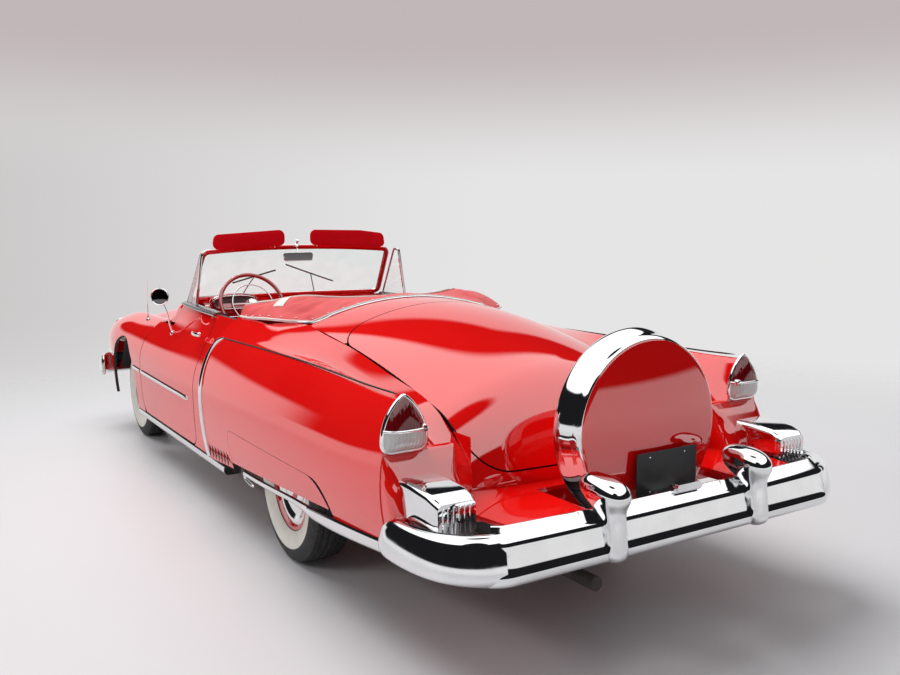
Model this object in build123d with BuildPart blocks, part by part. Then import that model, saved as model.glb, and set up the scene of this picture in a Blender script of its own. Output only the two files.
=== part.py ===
from build123d import *
from math import atan2, cos, degrees, hypot, radians, sin, sqrt
import os

# A two-door convertible of the early 1950s with a rear spare wheel cover.
# Millimetres. +X is forward, +Y is left, +Z is up, z = 0 is the ground.

os.makedirs("parts", exist_ok=True)

# Overall layout
car_length = 5820.0
nose_x = car_length / 2
tail_x = -car_length / 2
front_axle_x = 2020.0
wheelbase = 3200.0
rear_axle_x = front_axle_x - wheelbase
front_track = 1499.0
rear_track = 1600.0

# Fits and seams
seat_gap = 0.3
panel_seam = 0.5
door_gap = 8.0
lid_gap = 7.0
sill_gap = 2.0
run_fit = 0.05

# Wheels and tyres
tyre_radius = 360.0
tyre_width = 205.0
tyre_bead_width = 150.0
rim_radius = 206.0
rim_wall = 16.0
hub_face = 52.0
hub_radius = 62.0
spindle_radius = 25.0
spindle_reach = 34.0
axle_height = tyre_radius

# Steering
kingpin_inset = 60.0
kingpin_radius = 18.0
kingpin_half = 105.0
arm_boss_height = 26.0
arm_boss_radius = 32.0
arm_width = 46.0
arm_end = kingpin_radius + 5.0
arm_depth = 34.0

# Body side, one row per section from the nose to the tail
panel_wall = 25.0
arch_radius = 430.0
hood_half_front = 590.0
hood_half_rear = 626.0
hood_front_x = 2775.0
hood_rear_x = 1440.0
hood_rear_edge_z = 927.0
hood_rear_z = 1078.0
fender_front_x = 2780.0
sill_top = 302.0
sill_bottom = 250.0
side_foot_z = sill_top + sill_gap
sill_front_x = 1577.0
sill_rear_x = -420.0
sill_outer_y = 956.0
sill_inner_y = 862.0

# Doors
door_front_x = 1410.0
door_rear_x = 105.0
door_belt_front_x = 960.0
door_belt_rear_x = 143.0
door_ledge_z = 945.0
door_bottom_z = 310.0
door_top_z = 1112.0
door_skin = 20.0
door_depth = 52.0
door_inset = 26.0
door_dog_leg = 15.0
hinge_x = door_front_x - 10.0
fender_rear_x = door_front_x - 60.0
hinge_leaf = 70.0
hinge_low_z = 500.0
hinge_high_z = 780.0
lid_leaf_y = 300.0

# Rear quarter and wheel opening
quarter_end_x = -2330.0
scoop_x = -190.0
deck_half = 600.0
skirt_front_x = -645.0
skirt_rear_x = -1892.0
skirt_top_z = 557.0
skirt_low_front_z = 376.0
skirt_low_rear_z = 446.0

# Deck and lid
deck_wall = 24.0
lid_front_x = -1120.0
lid_low_z = 626.0
lid_corner = 190.0
tail_base_z = 446.0

# Cowl and windscreen
cowl_top_z = 1100.0
cowl_wall = 22.0
cowl_rear_x = 978.0
screen_base_half = 735.0
screen_top_half = 690.0
screen_base_x = 990.0
screen_base_mid_x = 1118.0
screen_top_x = 725.0
screen_top_mid_x = 790.0
screen_top_z = 1449.0
screen_top_mid_z = 1478.0
screen_bar = 34.0
glass_wall = 6.0

# Cabin opening in plan
well_front_x = 900.0
well_half = 766.0
boot_turn_x = -330.0
boot_turn_y = 742.0
deck_start_x = -800.0
cowl_foot_y = 784.0
cowl_front_x = hood_rear_x - lid_gap
nose_wall = 18.0
skirt_corner = 60.0

# Nose and lamps
grille_top_z = 700.0
grille_low_z = 440.0
grille_frame = 24.0
grille_bar = 9.0
grille_uprights = 17
grille_rails = 4
nose_height = 112.0
lamp_y = 768.0
lamp_z = 764.0
lamp_radius = 104.0
tail_lamp_y = 887.0
tail_lamp_half = 88.0
tail_lamp_low_z = 770.0
tail_lamp_split_z = 850.0
tail_lamp_top_z = 966.0
tail_lamp_depth = 40.0
base_low_z = 430.0
base_rear_x = -2454.0
base_inner_y = 676.0
base_outer_y = 944.0
base_turn = 60.0

# Frame, floor and running gear
rail_front_x = 2700.0
rail_rear_x = -2610.0
firewall_half = 740.0
firewall_top_z = 900.0
bulkhead_half = 690.0
bulkhead_top_z = 960.0
trunk_rear_x = -2262.0
trunk_half = 588.0
engine_x = 1830.0
engine_length = 760.0
engine_width = 520.0
engine_height = 520.0
radiator_x = 2520.0
radiator_half = 330.0
radiator_height = 400.0
steer_arm_length = 140.0
hub_inset = 20.0
axle_tube = 38.0
diff_radius = 140.0
spring_reach = 420.0
spring_rise = 30.0
spring_wall = 30.0
shackle_height = 110.0
pipe_y = 250.0
pipe_end_x = -2640.0
silencer_x = 100.0
silencer_length = 560.0
silencer_radius = 75.0
tank_x = -1960.0
tank_length = 520.0
tank_half = 320.0
tank_height = 200.0
floor_z = 330.0
rail_inner_y = 350.0
rail_width = 70.0
rail_height = 110.0
rail_low_z = 220.0
rail_front_z = 330.0
rail_kick_z = 440.0
floor_wall = 12.0
floor_front_x = 1340.0
floor_rear_x = -640.0
trunk_floor_z = 562.0
pipe_radius = 28.0
cross_depth = 66.0
iron_width = 50.0
iron_depth = 36.0
iron_drop = 20.0
pipe_z = rail_low_z + rail_height - cross_depth - seat_gap - pipe_radius

# Spare wheel cover behind the tail
spare_x = -2656.0
spare_front_x = -2484.0
spare_z = 799.0
spare_radius = 342.0
ring_radius = 374.0
ring_front_x = -2530.0
ring_rear_x = -2606.0
spare_foot_x = -2510.0
spare_foot_drop = 30.0

# Cabin fittings
screen_base_z = cowl_top_z + seat_gap
screen_low_share = 0.07
screen_high_share = 0.91
visor_x = 706.0
visor_low_z = 1446.0
visor_height = 132.0
visor_wall = 16.0
mirror_x = 700.0
mirror_z = 1405.0
column_angle = 26.0
column_radius = 24.0
steer_x = 640.0
steer_y = 392.0
steer_z = 1088.0
steer_radius = 212.0
steer_rim = 13.0
steer_hub_radius = 42.0
steer_hub_depth = 46.0
dash_x = 812.0
dash_half = 652.0
dash_top_z = 1092.0
dash_low_z = 860.0
front_seat_half = 640.0
seat_turn = 28.0
rear_seat_half = 670.0
rear_seat_x = floor_rear_x + floor_wall + seat_gap
boot_low_z = bulkhead_top_z + seat_gap
boot_height = 190.0
boot_inner_y = 560.0
boot_inner_x = -560.0
vent_x = 958.0
vent_y = 741.0
vent_z = 1086.0
vent_flare = 0.08
vent_lean = 0.15
vent_height = 352.0
vent_top_u = 262.0
vent_rear_u = 320.0
vent_bar = 14.0
vent_glass = 4.0
side_mirror_x = 900.0
side_mirror_y = 930.0
side_mirror_z = 1150.0
side_mirror_radius = 57.0
side_mirror_foot_y = 835.0
side_mirror_foot_z = 905.0

# Bumpers
front_bar_x = nose_x - 80
front_corner_x = front_bar_x - 15
front_wing_x = front_bar_x - 270
front_corner_y = 760.0
rear_bar_x = tail_x + 72
rear_corner_x = rear_bar_x + 188
rear_wing_x = rear_bar_x + 438
wing_half = 1000.0
bumper_bend = 110.0
guard_y = 360.0
guard_radius = 58.0
guard_z = 644.0
guard_reach = 74.0
guard_blade = 68.0
bar_end_y = 836.0
blade_z = 490.0
blade_height = 156.0
bullet_radius = 88.0
bullet_rise = 60.0
pod_rear_x = rear_corner_x
pod_front_x = rear_bar_x + 493
pod_y = 902.0
pod_z = 617.0
pod_width = 200.0
pod_height = 150.0
pan_z = 556.0
pan_wall = 16.0
pan_half = 780.0
pan_rear_half = 700.0
spare_dome = 14.0
bumper_height = 180.0
bumper_wall = 46.0
rear_bumper_z = 505.0
front_bumper_z = 500.0

pieces = {}


def keep(name, shape):
    # Label a finished piece and write it under its own name.
    shape.label = name
    export_step(shape, f"parts/{name}.step")
    pieces[name] = shape


def hood_half(x):
    # Half width of the hood at a station, straight from nose to cowl.
    share = (x - hood_rear_x) / (hood_front_x - hood_rear_x)
    return hood_half_rear + (hood_half_front - hood_half_rear) * share


def arc_height(a, b, c, x):
    # Height at x on the upper circle through three points.
    (x1, z1), (x2, z2), (x3, z3) = a, b, c
    d = 2 * (x1 * (z2 - z3) + x2 * (z3 - z1) + x3 * (z1 - z2))
    s1, s2, s3 = x1 * x1 + z1 * z1, x2 * x2 + z2 * z2, x3 * x3 + z3 * z3
    cx = (s1 * (z2 - z3) + s2 * (z3 - z1) + s3 * (z1 - z2)) / d
    cz = (s1 * (x3 - x2) + s2 * (x1 - x3) + s3 * (x2 - x1)) / d
    return cz + sqrt((x1 - cx) ** 2 + (z1 - cz) ** 2 - (x - cx) ** 2)


# Deck profiles along the car: x and z of front, middle, knee, tail and base
deck_edge = dict(
    front=(-700, 1085),
    mid=(-1500, 978),
    knee=(-2080, 842),
    tail=(-2290, 672),
    base=(-2318, tail_base_z),
)
deck_centre = dict(
    front=(-700, 1192),
    mid=(-1500, 1140),
    knee=(-2080, 990),
    tail=(-2352, 672),
    base=(-2376, tail_base_z),
)


def deck_edge_z(x):
    return arc_height(deck_edge["front"], deck_edge["mid"], deck_edge["knee"], x)


fender_rear_y = hood_half(fender_rear_x) + lid_gap
# Section columns: x, top y z, valley y z, crown y z, widest y z, foot y z
fender_rows = [
    (fender_front_x, hood_half(fender_front_x) + lid_gap, 852, 690, 892, 762, 884, 908, 690, 880, 430),
    (2500, hood_half(2500) + lid_gap, 893, 690, 930, 770, 925, 946, 690, 925, side_foot_z),
    (2020, hood_half(2020) + lid_gap, 908, 720, 944, 792, 934, 962, 680, 945, side_foot_z),
    (1500, hood_half(1500) + lid_gap, 925, 740, 950, 806, 934, 966, 660, 950, side_foot_z),
    (fender_rear_x, fender_rear_y, 928, 745, 952, 810, 934, 966, 655, 950, side_foot_z),
]
door_rows = [
    (door_front_x + 40, 700, 1090, 775, 1000, 822, 925, 966, 656, 950, side_foot_z),
    (1000, 748, 1096, 800, 1000, 838, 915, 966, 650, 950, side_foot_z),
    (600, 775, 1088, 815, 1000, 860, 905, 965, 640, 950, side_foot_z),
    (90, 785, 1076, 830, 985, 880, 890, 962, 630, 948, side_foot_z),
    (-330, 785, 1068, 832, 980, 880, 885, 960, 620, 946, side_foot_z),
]
rear_rows = [
    (scoop_x, 764, 1084, 838, 1030, 884, 985, 1000, 650, 962, side_foot_z),
    (-640, 690, 1094, 792, 1040, 880, 986, 1008, 650, 972, 342),
    (-900, 575, 1072, 765, 1026, 876, 986, 1011, 650, 975, 362),
    (-1400, 575, deck_edge_z(-1400) + 3, 756, 975, 872, 983, 1012, 648, 976, 396),
    (-1800, 575, deck_edge_z(-1800) + 2, 766, 908, 875, 974, 1008, 643, 973, 418),
    (-2080, 575, deck_edge_z(-2080), 776, 846, 879, 968, 1000, 640, 966, 425),
    (quarter_end_x, 575, 655, 792, 740, 886, 972, 988, 640, 954, 425),
]


def miter(first, second, depth):
    # Corner shift that keeps the wall's depth behind two lines with these inward normals.
    scale = depth / (1 + first[0] * second[0] + first[1] * second[1])
    return ((first[0] + second[0]) * scale, (first[1] + second[1]) * scale)


def inward(start, end):
    # Unit normal on the inner side of a line that runs outboard along the skin.
    length = hypot(end[0] - start[0], end[1] - start[1])
    return ((end[1] - start[1]) / length, (start[0] - end[0]) / length)


def wall_line(row, depth):
    # Corners of the skin line moved inwards: top, valley, crown, widest, foot.
    x, ty, tz, vy, vz, cy, cz, wy, wz, fy, fz = row
    first = inward((ty, tz), (vy, vz))
    second = inward((vy, vz), (cy, cz))
    chord = degrees(atan2(cz - wz, cy - wy))
    slope = radians(2 * chord - 90)
    third = (-sin(slope), cos(slope))
    valley_in = miter(first, second, depth)
    crown_in = miter(second, third, depth)
    top = (ty, tz + depth / first[1]) if abs(first[1]) > abs(first[0]) else (ty + depth / first[0], tz)
    valley = (vy + valley_in[0], vz + valley_in[1])
    crown = (cy + crown_in[0], cz + crown_in[1])
    return top, valley, crown, (wy - depth, wz), (fy - depth, fz)


def side_band(rows, out, deep):
    # A wall lofted through section rows: 'out' sets it in from the skin, 'deep' is its thickness.
    with BuildPart() as band:
        for row in rows:
            with BuildSketch(Plane.YZ.offset(row[0])):
                with BuildLine():
                    skin = wall_line(row, out)
                    back = wall_line(row, out + deep)
                    for top, valley, crown, wide, foot in (skin, back):
                        Polyline(top, valley, crown)
                        TangentArc(wide, crown, tangent=(0, 1))
                        TangentArc(wide, foot, tangent=(0, -1))
                    Line(skin[0], back[0])
                    Line(skin[-1], back[-1])
                make_face()
        loft()
    return band.part


def side_fill(row, x_from, x_to):
    # Closed end of a wing: the outer line filled in to the top's inner edge.
    x, ty, tz, vy, vz, cy, cz, wy, wz, fy, fz = row
    with BuildPart() as cap:
        with BuildSketch(Plane.YZ.offset(x_from)):
            with BuildLine():
                Polyline((wy, wz), (fy, fz), (ty, fz), (ty, tz), (vy, vz), (cy, cz))
                TangentArc((wy, wz), (cy, cz), tangent=(0, 1))
            make_face()
        extrude(amount=x_to - x_from)
    return cap.part


def door_outline(grow, inner_y):
    # The door's edge in side view as a prism from inner_y outwards.
    with BuildPart() as prism:
        with BuildSketch(Plane.XZ.offset(-inner_y)):
            with BuildLine():
                belt_rear = (door_belt_rear_x, door_top_z)
                belt_front = (door_belt_front_x, door_top_z)
                dog_leg = (door_belt_front_x + door_dog_leg, door_ledge_z)
                ledge = (door_front_x - 70, door_ledge_z)
                shoulder = (door_front_x, door_ledge_z - 80)
                front_low = (door_front_x, door_bottom_z + 130)
                foot_front = (door_front_x - 80, door_bottom_z)
                foot_rear = (door_rear_x + 70, door_bottom_z)
                rear_low = (door_rear_x, door_bottom_z + 80)
                rear_mid = (door_rear_x, door_ledge_z - 145)
                Polyline(belt_rear, belt_front, dog_leg, ledge)
                TangentArc(ledge, shoulder, tangent=(1, 0))
                Line(shoulder, front_low)
                TangentArc(front_low, foot_front, tangent=(0, -1))
                Line(foot_front, foot_rear)
                TangentArc(rear_low, foot_rear, tangent=(0, -1))
                Polyline(rear_low, rear_mid, belt_rear)
            make_face()
            if grow:
                offset(amount=grow, kind=Kind.INTERSECTION)
        extrude(amount=-600)
    return prism.part


def mirrored(shape):
    return mirror(shape, about=Plane.XZ)


def both_sides(name, shape):
    keep(name + "_left", shape)
    keep(name + "_right", mirrored(shape))


def pair(name, shape):
    # Left and right copies in one piece of the body.
    keep(name, Compound(children=[shape, mirrored(shape)]))


# Cabin opening and deck in plan, the space between the two body sides
def well_outline(grow, low_z, high_z):
    with BuildPart() as well:
        with BuildSketch(Plane.XY.offset(low_z)):
            with BuildLine():
                for side in (1, -1):
                    Polyline(
                        (well_front_x, side * well_half),
                        (boot_turn_x, side * (boot_turn_y + 22)),
                        (boot_turn_x - 270, side * boot_turn_y),
                    )
                    Line((boot_turn_x - 270, side * boot_turn_y), (deck_start_x, side * deck_half))
                    Line((deck_start_x, side * deck_half), (quarter_end_x - 200, side * deck_half))
                Line((well_front_x, well_half), (well_front_x, -well_half))
                Line((quarter_end_x - 200, deck_half), (quarter_end_x - 200, -deck_half))
            make_face()
            if grow:
                offset(amount=grow, kind=Kind.INTERSECTION)
        extrude(amount=high_z - low_z)
    return well.part


# Front wings
door_cut = door_outline(door_gap, cowl_foot_y + 4)
with BuildPart() as front_fender:
    add(side_band(fender_rows, 0, panel_wall))
    add(side_fill(fender_rows[0], fender_front_x, fender_front_x - nose_wall))
    add(door_cut, mode=Mode.SUBTRACT)
    with Locations((front_axle_x, sill_outer_y, axle_height)):
        Cylinder(arch_radius, 400, rotation=(90, 0, 0), mode=Mode.SUBTRACT)
    with Locations((cowl_front_x + panel_seam, 0, cowl_top_z)):
        Box(
            400,
            2 * (cowl_foot_y + 4),
            800,
            align=(Align.MAX, Align.CENTER, Align.CENTER),
            mode=Mode.SUBTRACT,
        )
    split(bisect_by=Plane.YZ.offset(door_front_x - 30), keep=Keep.TOP)
both_sides("front_fender", front_fender.part)

# Doors: a skin of the full outline and a box set in behind it
with BuildPart() as door_box:
    add(side_band(door_rows, door_skin - 2, door_depth))
    add(door_outline(-door_inset, cowl_foot_y - 200), mode=Mode.INTERSECT)
with BuildPart() as hinge_leaves:
    for low_z in (hinge_low_z, hinge_high_z):
        with Locations((hinge_x, sill_outer_y, low_z)):
            Box(
                door_front_x + door_gap - seat_gap - hinge_x,
                2 * door_depth,
                hinge_leaf,
                align=(Align.MIN, Align.CENTER, Align.MIN),
            )
    add(side_band(door_rows, door_skin / 4, door_skin / 2), mode=Mode.INTERSECT)
with BuildPart() as door:
    add(side_band(door_rows, 0, door_skin))
    add(door_outline(0, cowl_foot_y - 200), mode=Mode.INTERSECT)
    add(door_box.part)
    add(hinge_leaves.part)
both_sides("door", door.part)

# Rear quarters: the body side behind the door, then the wider rear wing from its scoop back
with BuildPart() as wheel_opening:
    with BuildSketch(Plane.XZ.offset(-cowl_foot_y)):
        with BuildLine():
            Polyline(
                (skirt_front_x, 0),
                (skirt_front_x, skirt_top_z),
                (skirt_rear_x, skirt_top_z),
                (skirt_rear_x, 0),
                close=True,
            )
        make_face()
    extrude(amount=-500)
    fillet(wheel_opening.edges().filter_by(Axis.Y).group_by(Axis.Z)[-1], skirt_corner)
with BuildPart() as side_front:
    add(side_band(door_rows, 0, panel_wall))
    add(door_outline(door_gap, cowl_foot_y - 200), mode=Mode.SUBTRACT)
    split(bisect_by=Plane.YZ.offset(door_belt_rear_x), keep=Keep.BOTTOM)
rear_band = side_band(rear_rows, 0, panel_wall)
scoop_row = rear_rows[0]
scoop_rows = [scoop_row, (scoop_x - 30,) + scoop_row[1:]]
with BuildPart() as lamp_base:
    with BuildSketch(Plane.XY.offset(base_low_z)):
        with BuildLine():
            Polyline(
                (base_rear_x + base_turn, base_inner_y),
                (quarter_end_x + 4, base_inner_y),
                (quarter_end_x + 4, base_outer_y),
                (base_rear_x + base_turn, base_outer_y),
            )
            TangentArc(
                (base_rear_x + base_turn, base_outer_y),
                (base_rear_x, base_outer_y - base_turn),
                tangent=(-1, 0),
            )
            Line((base_rear_x, base_outer_y - base_turn), (base_rear_x, base_inner_y + base_turn))
            TangentArc(
                (base_rear_x, base_inner_y + base_turn),
                (base_rear_x + base_turn, base_inner_y),
                tangent=(0, -1),
            )
        make_face()
    extrude(amount=tail_lamp_low_z - base_low_z)
    with BuildSketch(Plane.XZ.offset(-base_inner_y)):
        with BuildLine():
            Polyline(
                (quarter_end_x + 4, base_low_z),
                (base_rear_x, base_low_z),
                (base_rear_x, 560),
                (base_rear_x + 26, 640),
                (base_rear_x + 82, 720),
                (quarter_end_x + 4, tail_lamp_low_z - 6),
                close=True,
            )
        make_face()
    extrude(amount=base_inner_y - base_outer_y, mode=Mode.INTERSECT)
with BuildPart() as quarter:
    add(rear_band)
    add(side_front.part)
    add(side_band(scoop_rows, 3, 70))
    add(side_fill(rear_rows[-1], quarter_end_x, quarter_end_x + nose_wall))
    add(lamp_base.part)
    add(wheel_opening.part, mode=Mode.SUBTRACT)
    add(well_outline(0, tail_base_z - 60, cowl_top_z + 200), mode=Mode.SUBTRACT)
both_sides("quarter", quarter.part)

# Skirts over the rear wheels
with BuildPart() as skirt_shape:
    with BuildSketch(Plane.XZ.offset(-cowl_foot_y)):
        with BuildLine():
            Polyline(
                (skirt_front_x - panel_seam, skirt_low_front_z),
                (skirt_front_x - panel_seam, skirt_top_z - panel_seam),
                (skirt_rear_x + panel_seam, skirt_top_z - panel_seam),
                (skirt_rear_x + panel_seam, skirt_low_rear_z),
                close=True,
            )
        make_face()
    extrude(amount=-500)
    fillet(skirt_shape.edges().filter_by(Axis.Y).group_by(Axis.Z)[-1], skirt_corner)
with BuildPart() as skirt:
    add(rear_band)
    add(skirt_shape.part, mode=Mode.INTERSECT)
pair("fender_skirts", skirt.part)

# Sills under the doors
with BuildPart() as sill:
    with BuildSketch(Plane.YZ.offset(sill_rear_x)):
        with BuildLine():
            Polyline(
                (sill_outer_y - 20, sill_bottom),
                (sill_inner_y, sill_bottom),
                (sill_inner_y, floor_z + floor_wall),
                (sill_inner_y + floor_wall, floor_z + floor_wall),
                (sill_inner_y + floor_wall, sill_top),
                (sill_outer_y - 10, sill_top),
            )
            ThreePointArc(
                (sill_outer_y - 10, sill_top),
                (sill_outer_y, (sill_top + sill_bottom) / 2),
                (sill_outer_y - 20, sill_bottom),
            )
        make_face()
    extrude(amount=sill_front_x - sill_rear_x)
pair("sills", sill.part)

# Windscreen: crescent slabs between the cowl and the header
def screen_slab(side_in, low, high, back, ahead):
    # 'low' and 'high' are shares of the screen's height, 'ahead' to 'back' its depth.
    with BuildPart() as slab:
        for share in (low, high):
            half = screen_base_half + (screen_top_half - screen_base_half) * share
            end_x = screen_base_x + (screen_top_x - screen_base_x) * share
            end_z = screen_base_z + (screen_top_z - screen_base_z) * share
            mid_x = screen_base_mid_x + (screen_top_mid_x - screen_base_mid_x) * share
            mid_z = screen_base_z + (screen_top_mid_z - screen_base_z) * share
            chord = Vector(end_x - mid_x, 0, end_z - mid_z)
            radius = (half**2 + chord.length**2) / (2 * chord.length)
            edge = half - side_in
            sag = radius - sqrt(radius**2 - edge**2)
            up = Vector(0, 1, 0).cross(chord)
            with BuildSketch(Plane(origin=(mid_x, 0, mid_z), x_dir=(0, 1, 0), z_dir=up)):
                with BuildLine():
                    for d in (ahead, back):
                        ThreePointArc((-edge, sag + d), (0, d), (edge, sag + d))
                    for y in (-edge, edge):
                        Line((y, sag + ahead), (y, sag + back))
                make_face()
        loft(ruled=True)
    return slab.part


# Hood: crowned sections, columns x, edge height, centre height, with two hinge leaves at its rear
hood_rows = [
    (hood_rear_x, hood_rear_edge_z, hood_rear_z),
    (2100, 906, 1030),
    (2600, 880, 955),
    (hood_front_x, 850, 900),
]
with BuildPart() as hood:
    for x, edge_z, centre_z in hood_rows:
        half = hood_half(x)
        with BuildSketch(Plane.YZ.offset(x)):
            with BuildLine():
                for drop in (0, deck_wall):
                    ThreePointArc((-half, edge_z - drop), (0, centre_z - drop), (half, edge_z - drop))
                for y in (-half, half):
                    Line((y, edge_z), (y, edge_z - deck_wall))
            make_face()
    loft()
    rear_arc = [(-hood_half_rear, hood_rear_edge_z), (0, hood_rear_z), (hood_half_rear, hood_rear_edge_z)]
    leaf_z = arc_height(*rear_arc, lid_leaf_y) - deck_wall / 2
    for y in (lid_leaf_y, -lid_leaf_y):
        with Locations((cowl_front_x + seat_gap, y, leaf_z)):
            Box(3 * lid_gap, hinge_leaf, deck_wall / 4, align=(Align.MIN, Align.CENTER, Align.CENTER))
keep("hood", hood.part)

# Cowl: columns x, foot y z, shoulder y z, centre z
cowl_rows = [
    (cowl_rear_x, cowl_foot_y, door_ledge_z + 9, 744, cowl_top_z - 4, cowl_top_z),
    (1140, cowl_foot_y, door_ledge_z + 9, 736, cowl_top_z - 6, cowl_top_z),
    (1300, cowl_foot_y, door_ledge_z + 6, 690, 1020, cowl_top_z - 9),
    (cowl_front_x, cowl_foot_y, door_ledge_z - 4, hood_half_rear, hood_rear_edge_z + 2, hood_rear_z),
]
with BuildPart() as cowl:
    for x, fy, fz, sy, sz, cz in cowl_rows:
        with BuildSketch(Plane.YZ.offset(x)):
            with BuildLine():
                for d in (0, cowl_wall):
                    foot = (fy - 0.7 * d, fz - 0.7 * d)
                    side = (sy - 0.7 * d, sz - 0.7 * d)
                    Line(foot, side)
                    ThreePointArc(side, (0, cz - d), (-side[0], side[1]))
                    Line((-side[0], side[1]), (-foot[0], foot[1]))
                for side in (1, -1):
                    Line((side * fy, fz), (side * (fy - 0.7 * cowl_wall), fz - 0.7 * cowl_wall))
            make_face()
    loft()
    recess = screen_bar / 2 + seat_gap
    add(screen_slab(-seat_gap, 0, 0.2, recess, -recess), mode=Mode.SUBTRACT)
keep("cowl", cowl.part)

# Deck: three fore-and-aft profiles lofted across the car
with BuildPart() as deck:
    for y, row in ((-deck_half, deck_edge), (0, deck_centre), (deck_half, deck_edge)):
        with BuildSketch(Plane.XZ.offset(-y)):
            with BuildLine():
                inner = [
                    (row["front"][0], row["front"][1] - deck_wall),
                    (row["mid"][0], row["mid"][1] - deck_wall),
                    (row["knee"][0] + 0.3 * deck_wall, row["knee"][1] - 0.95 * deck_wall),
                    (row["tail"][0] + 0.95 * deck_wall, row["tail"][1] - 0.3 * deck_wall),
                    (row["base"][0] + deck_wall, row["base"][1]),
                ]
                outer = [row["front"], row["mid"], row["knee"], row["tail"], row["base"]]
                for front, mid, knee, tail, base in (outer, inner):
                    top = ThreePointArc(front, mid, knee)
                    turn = TangentArc(knee, tail, tangent=top % 1)
                    TangentArc(tail, base, tangent=turn % 1)
                Line(outer[0], inner[0])
                Line(outer[-1], inner[-1])
            make_face()
    loft()


def lid_prism(grow):
    # The lid's edge seen from behind, run forward along the car.
    with BuildPart() as prism:
        with BuildSketch(Plane.YZ.offset(lid_front_x + (lid_gap if grow else 0))):
            with Locations((0, lid_low_z - grow)):
                Rectangle(2 * (deck_half - lid_gap + grow), 900, align=(Align.CENTER, Align.MIN))
        extrude(amount=-2000)
        fillet(prism.edges().filter_by(Axis.X).group_by(Axis.Z)[0], lid_corner)
    return prism.part


with BuildPart() as lid_leaves:
    add(deck.part)
    with Locations((lid_front_x + lid_gap - seat_gap, 0, cowl_top_z)):
        Box(
            3 * lid_gap,
            2 * lid_leaf_y + hinge_leaf,
            600,
            align=(Align.MAX, Align.CENTER, Align.CENTER),
            mode=Mode.INTERSECT,
        )
        Box(100, 2 * lid_leaf_y - hinge_leaf, 600, mode=Mode.SUBTRACT)
with BuildPart() as trunk_lid:
    add(deck.part)
    add(lid_prism(0), mode=Mode.INTERSECT)
    add(lid_leaves.part)
keep("trunk_lid", trunk_lid.part)

with BuildPart() as tonneau:
    add(deck.part)
    split(bisect_by=Plane.YZ.offset(lid_front_x + lid_gap), keep=Keep.TOP)
    with Locations((deck_start_x, 0, cowl_top_z)):
        Box(400, 3 * deck_half, 600, align=(Align.MIN, Align.CENTER, Align.CENTER), mode=Mode.SUBTRACT)
    with Locations((0, 0, cowl_top_z)):
        Box(2 * car_length, 2 * (deck_half - panel_seam), 800, mode=Mode.INTERSECT)
keep("tonneau_panel", tonneau.part)

with BuildPart() as tail_panel:
    add(deck.part)
    add(lid_prism(lid_gap - panel_seam), mode=Mode.SUBTRACT)
    split(bisect_by=Plane.YZ.offset(deck_edge["knee"][0]), keep=Keep.BOTTOM)
    with Locations((0, 0, cowl_top_z)):
        Box(2 * car_length, 2 * (deck_half - panel_seam), 1800, mode=Mode.INTERSECT)
keep("tail_panel", tail_panel.part)

# Nose panel and grille between the front wings
nose_half = hood_half(fender_front_x) + lid_gap - panel_seam
with BuildPart() as nose_panel:
    with BuildSketch(Plane.XZ.offset(-nose_half)):
        with BuildLine():
            Polyline(
                (fender_front_x - nose_wall, grille_top_z + panel_seam),
                (fender_front_x - 70, grille_top_z + panel_seam),
                (fender_front_x - 70, grille_top_z + 40),
                (fender_front_x - 40, grille_top_z + nose_height),
                (fender_front_x - nose_wall, grille_top_z + nose_height),
            )
            ThreePointArc(
                (fender_front_x - nose_wall, grille_top_z + nose_height),
                (fender_front_x + 6, grille_top_z + nose_height / 2),
                (fender_front_x - nose_wall, grille_top_z + panel_seam),
            )
        make_face()
    extrude(amount=2 * nose_half)
keep("nose_panel", nose_panel.part)

grille_mid_z = (grille_top_z + grille_low_z) / 2
grille_height = grille_top_z - grille_low_z
with BuildPart() as grille:
    with BuildSketch(Plane.YZ.offset(fender_front_x - 50)):
        with Locations((0, grille_mid_z)):
            Rectangle(2 * nose_half, grille_height)
            hole = (2 * nose_half - 2 * grille_frame, grille_height - 2 * grille_frame)
            Rectangle(*hole, mode=Mode.SUBTRACT)
    extrude(amount=50)
    with BuildSketch(Plane.YZ.offset(fender_front_x - 44)):
        with Locations((0, grille_mid_z)):
            with GridLocations(2 * nose_half / (grille_uprights + 1), 0, grille_uprights, 1):
                Rectangle(grille_bar, grille_height - grille_frame)
    extrude(amount=22)
    with BuildSketch(Plane.YZ.offset(fender_front_x - 36)):
        with Locations((0, grille_mid_z)):
            with GridLocations(0, grille_height / (grille_rails + 1), 1, grille_rails):
                Rectangle(2 * nose_half - grille_frame, grille_bar)
    extrude(amount=30)
keep("grille", grille.part)

# Headlamps on the wing ends
with BuildPart() as headlamp:
    with BuildSketch(Plane.XY.offset(lamp_z)):
        with BuildLine():
            Polyline(
                (fender_front_x + seat_gap, lamp_y),
                (fender_front_x + seat_gap, lamp_y + lamp_radius),
                (fender_front_x + 26, lamp_y + lamp_radius - 6),
                (fender_front_x + 26, lamp_y + lamp_radius - 20),
            )
            lens_tip = (fender_front_x + 46, lamp_y)
            TangentArc(lens_tip, (fender_front_x + 26, lamp_y + lamp_radius - 20), tangent=(0, 1))
            Line(lens_tip, (fender_front_x + seat_gap, lamp_y))
        make_face()
    revolve(axis=Axis((0, lamp_y, lamp_z), (1, 0, 0)))
pair("headlamps", headlamp.part)

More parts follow.
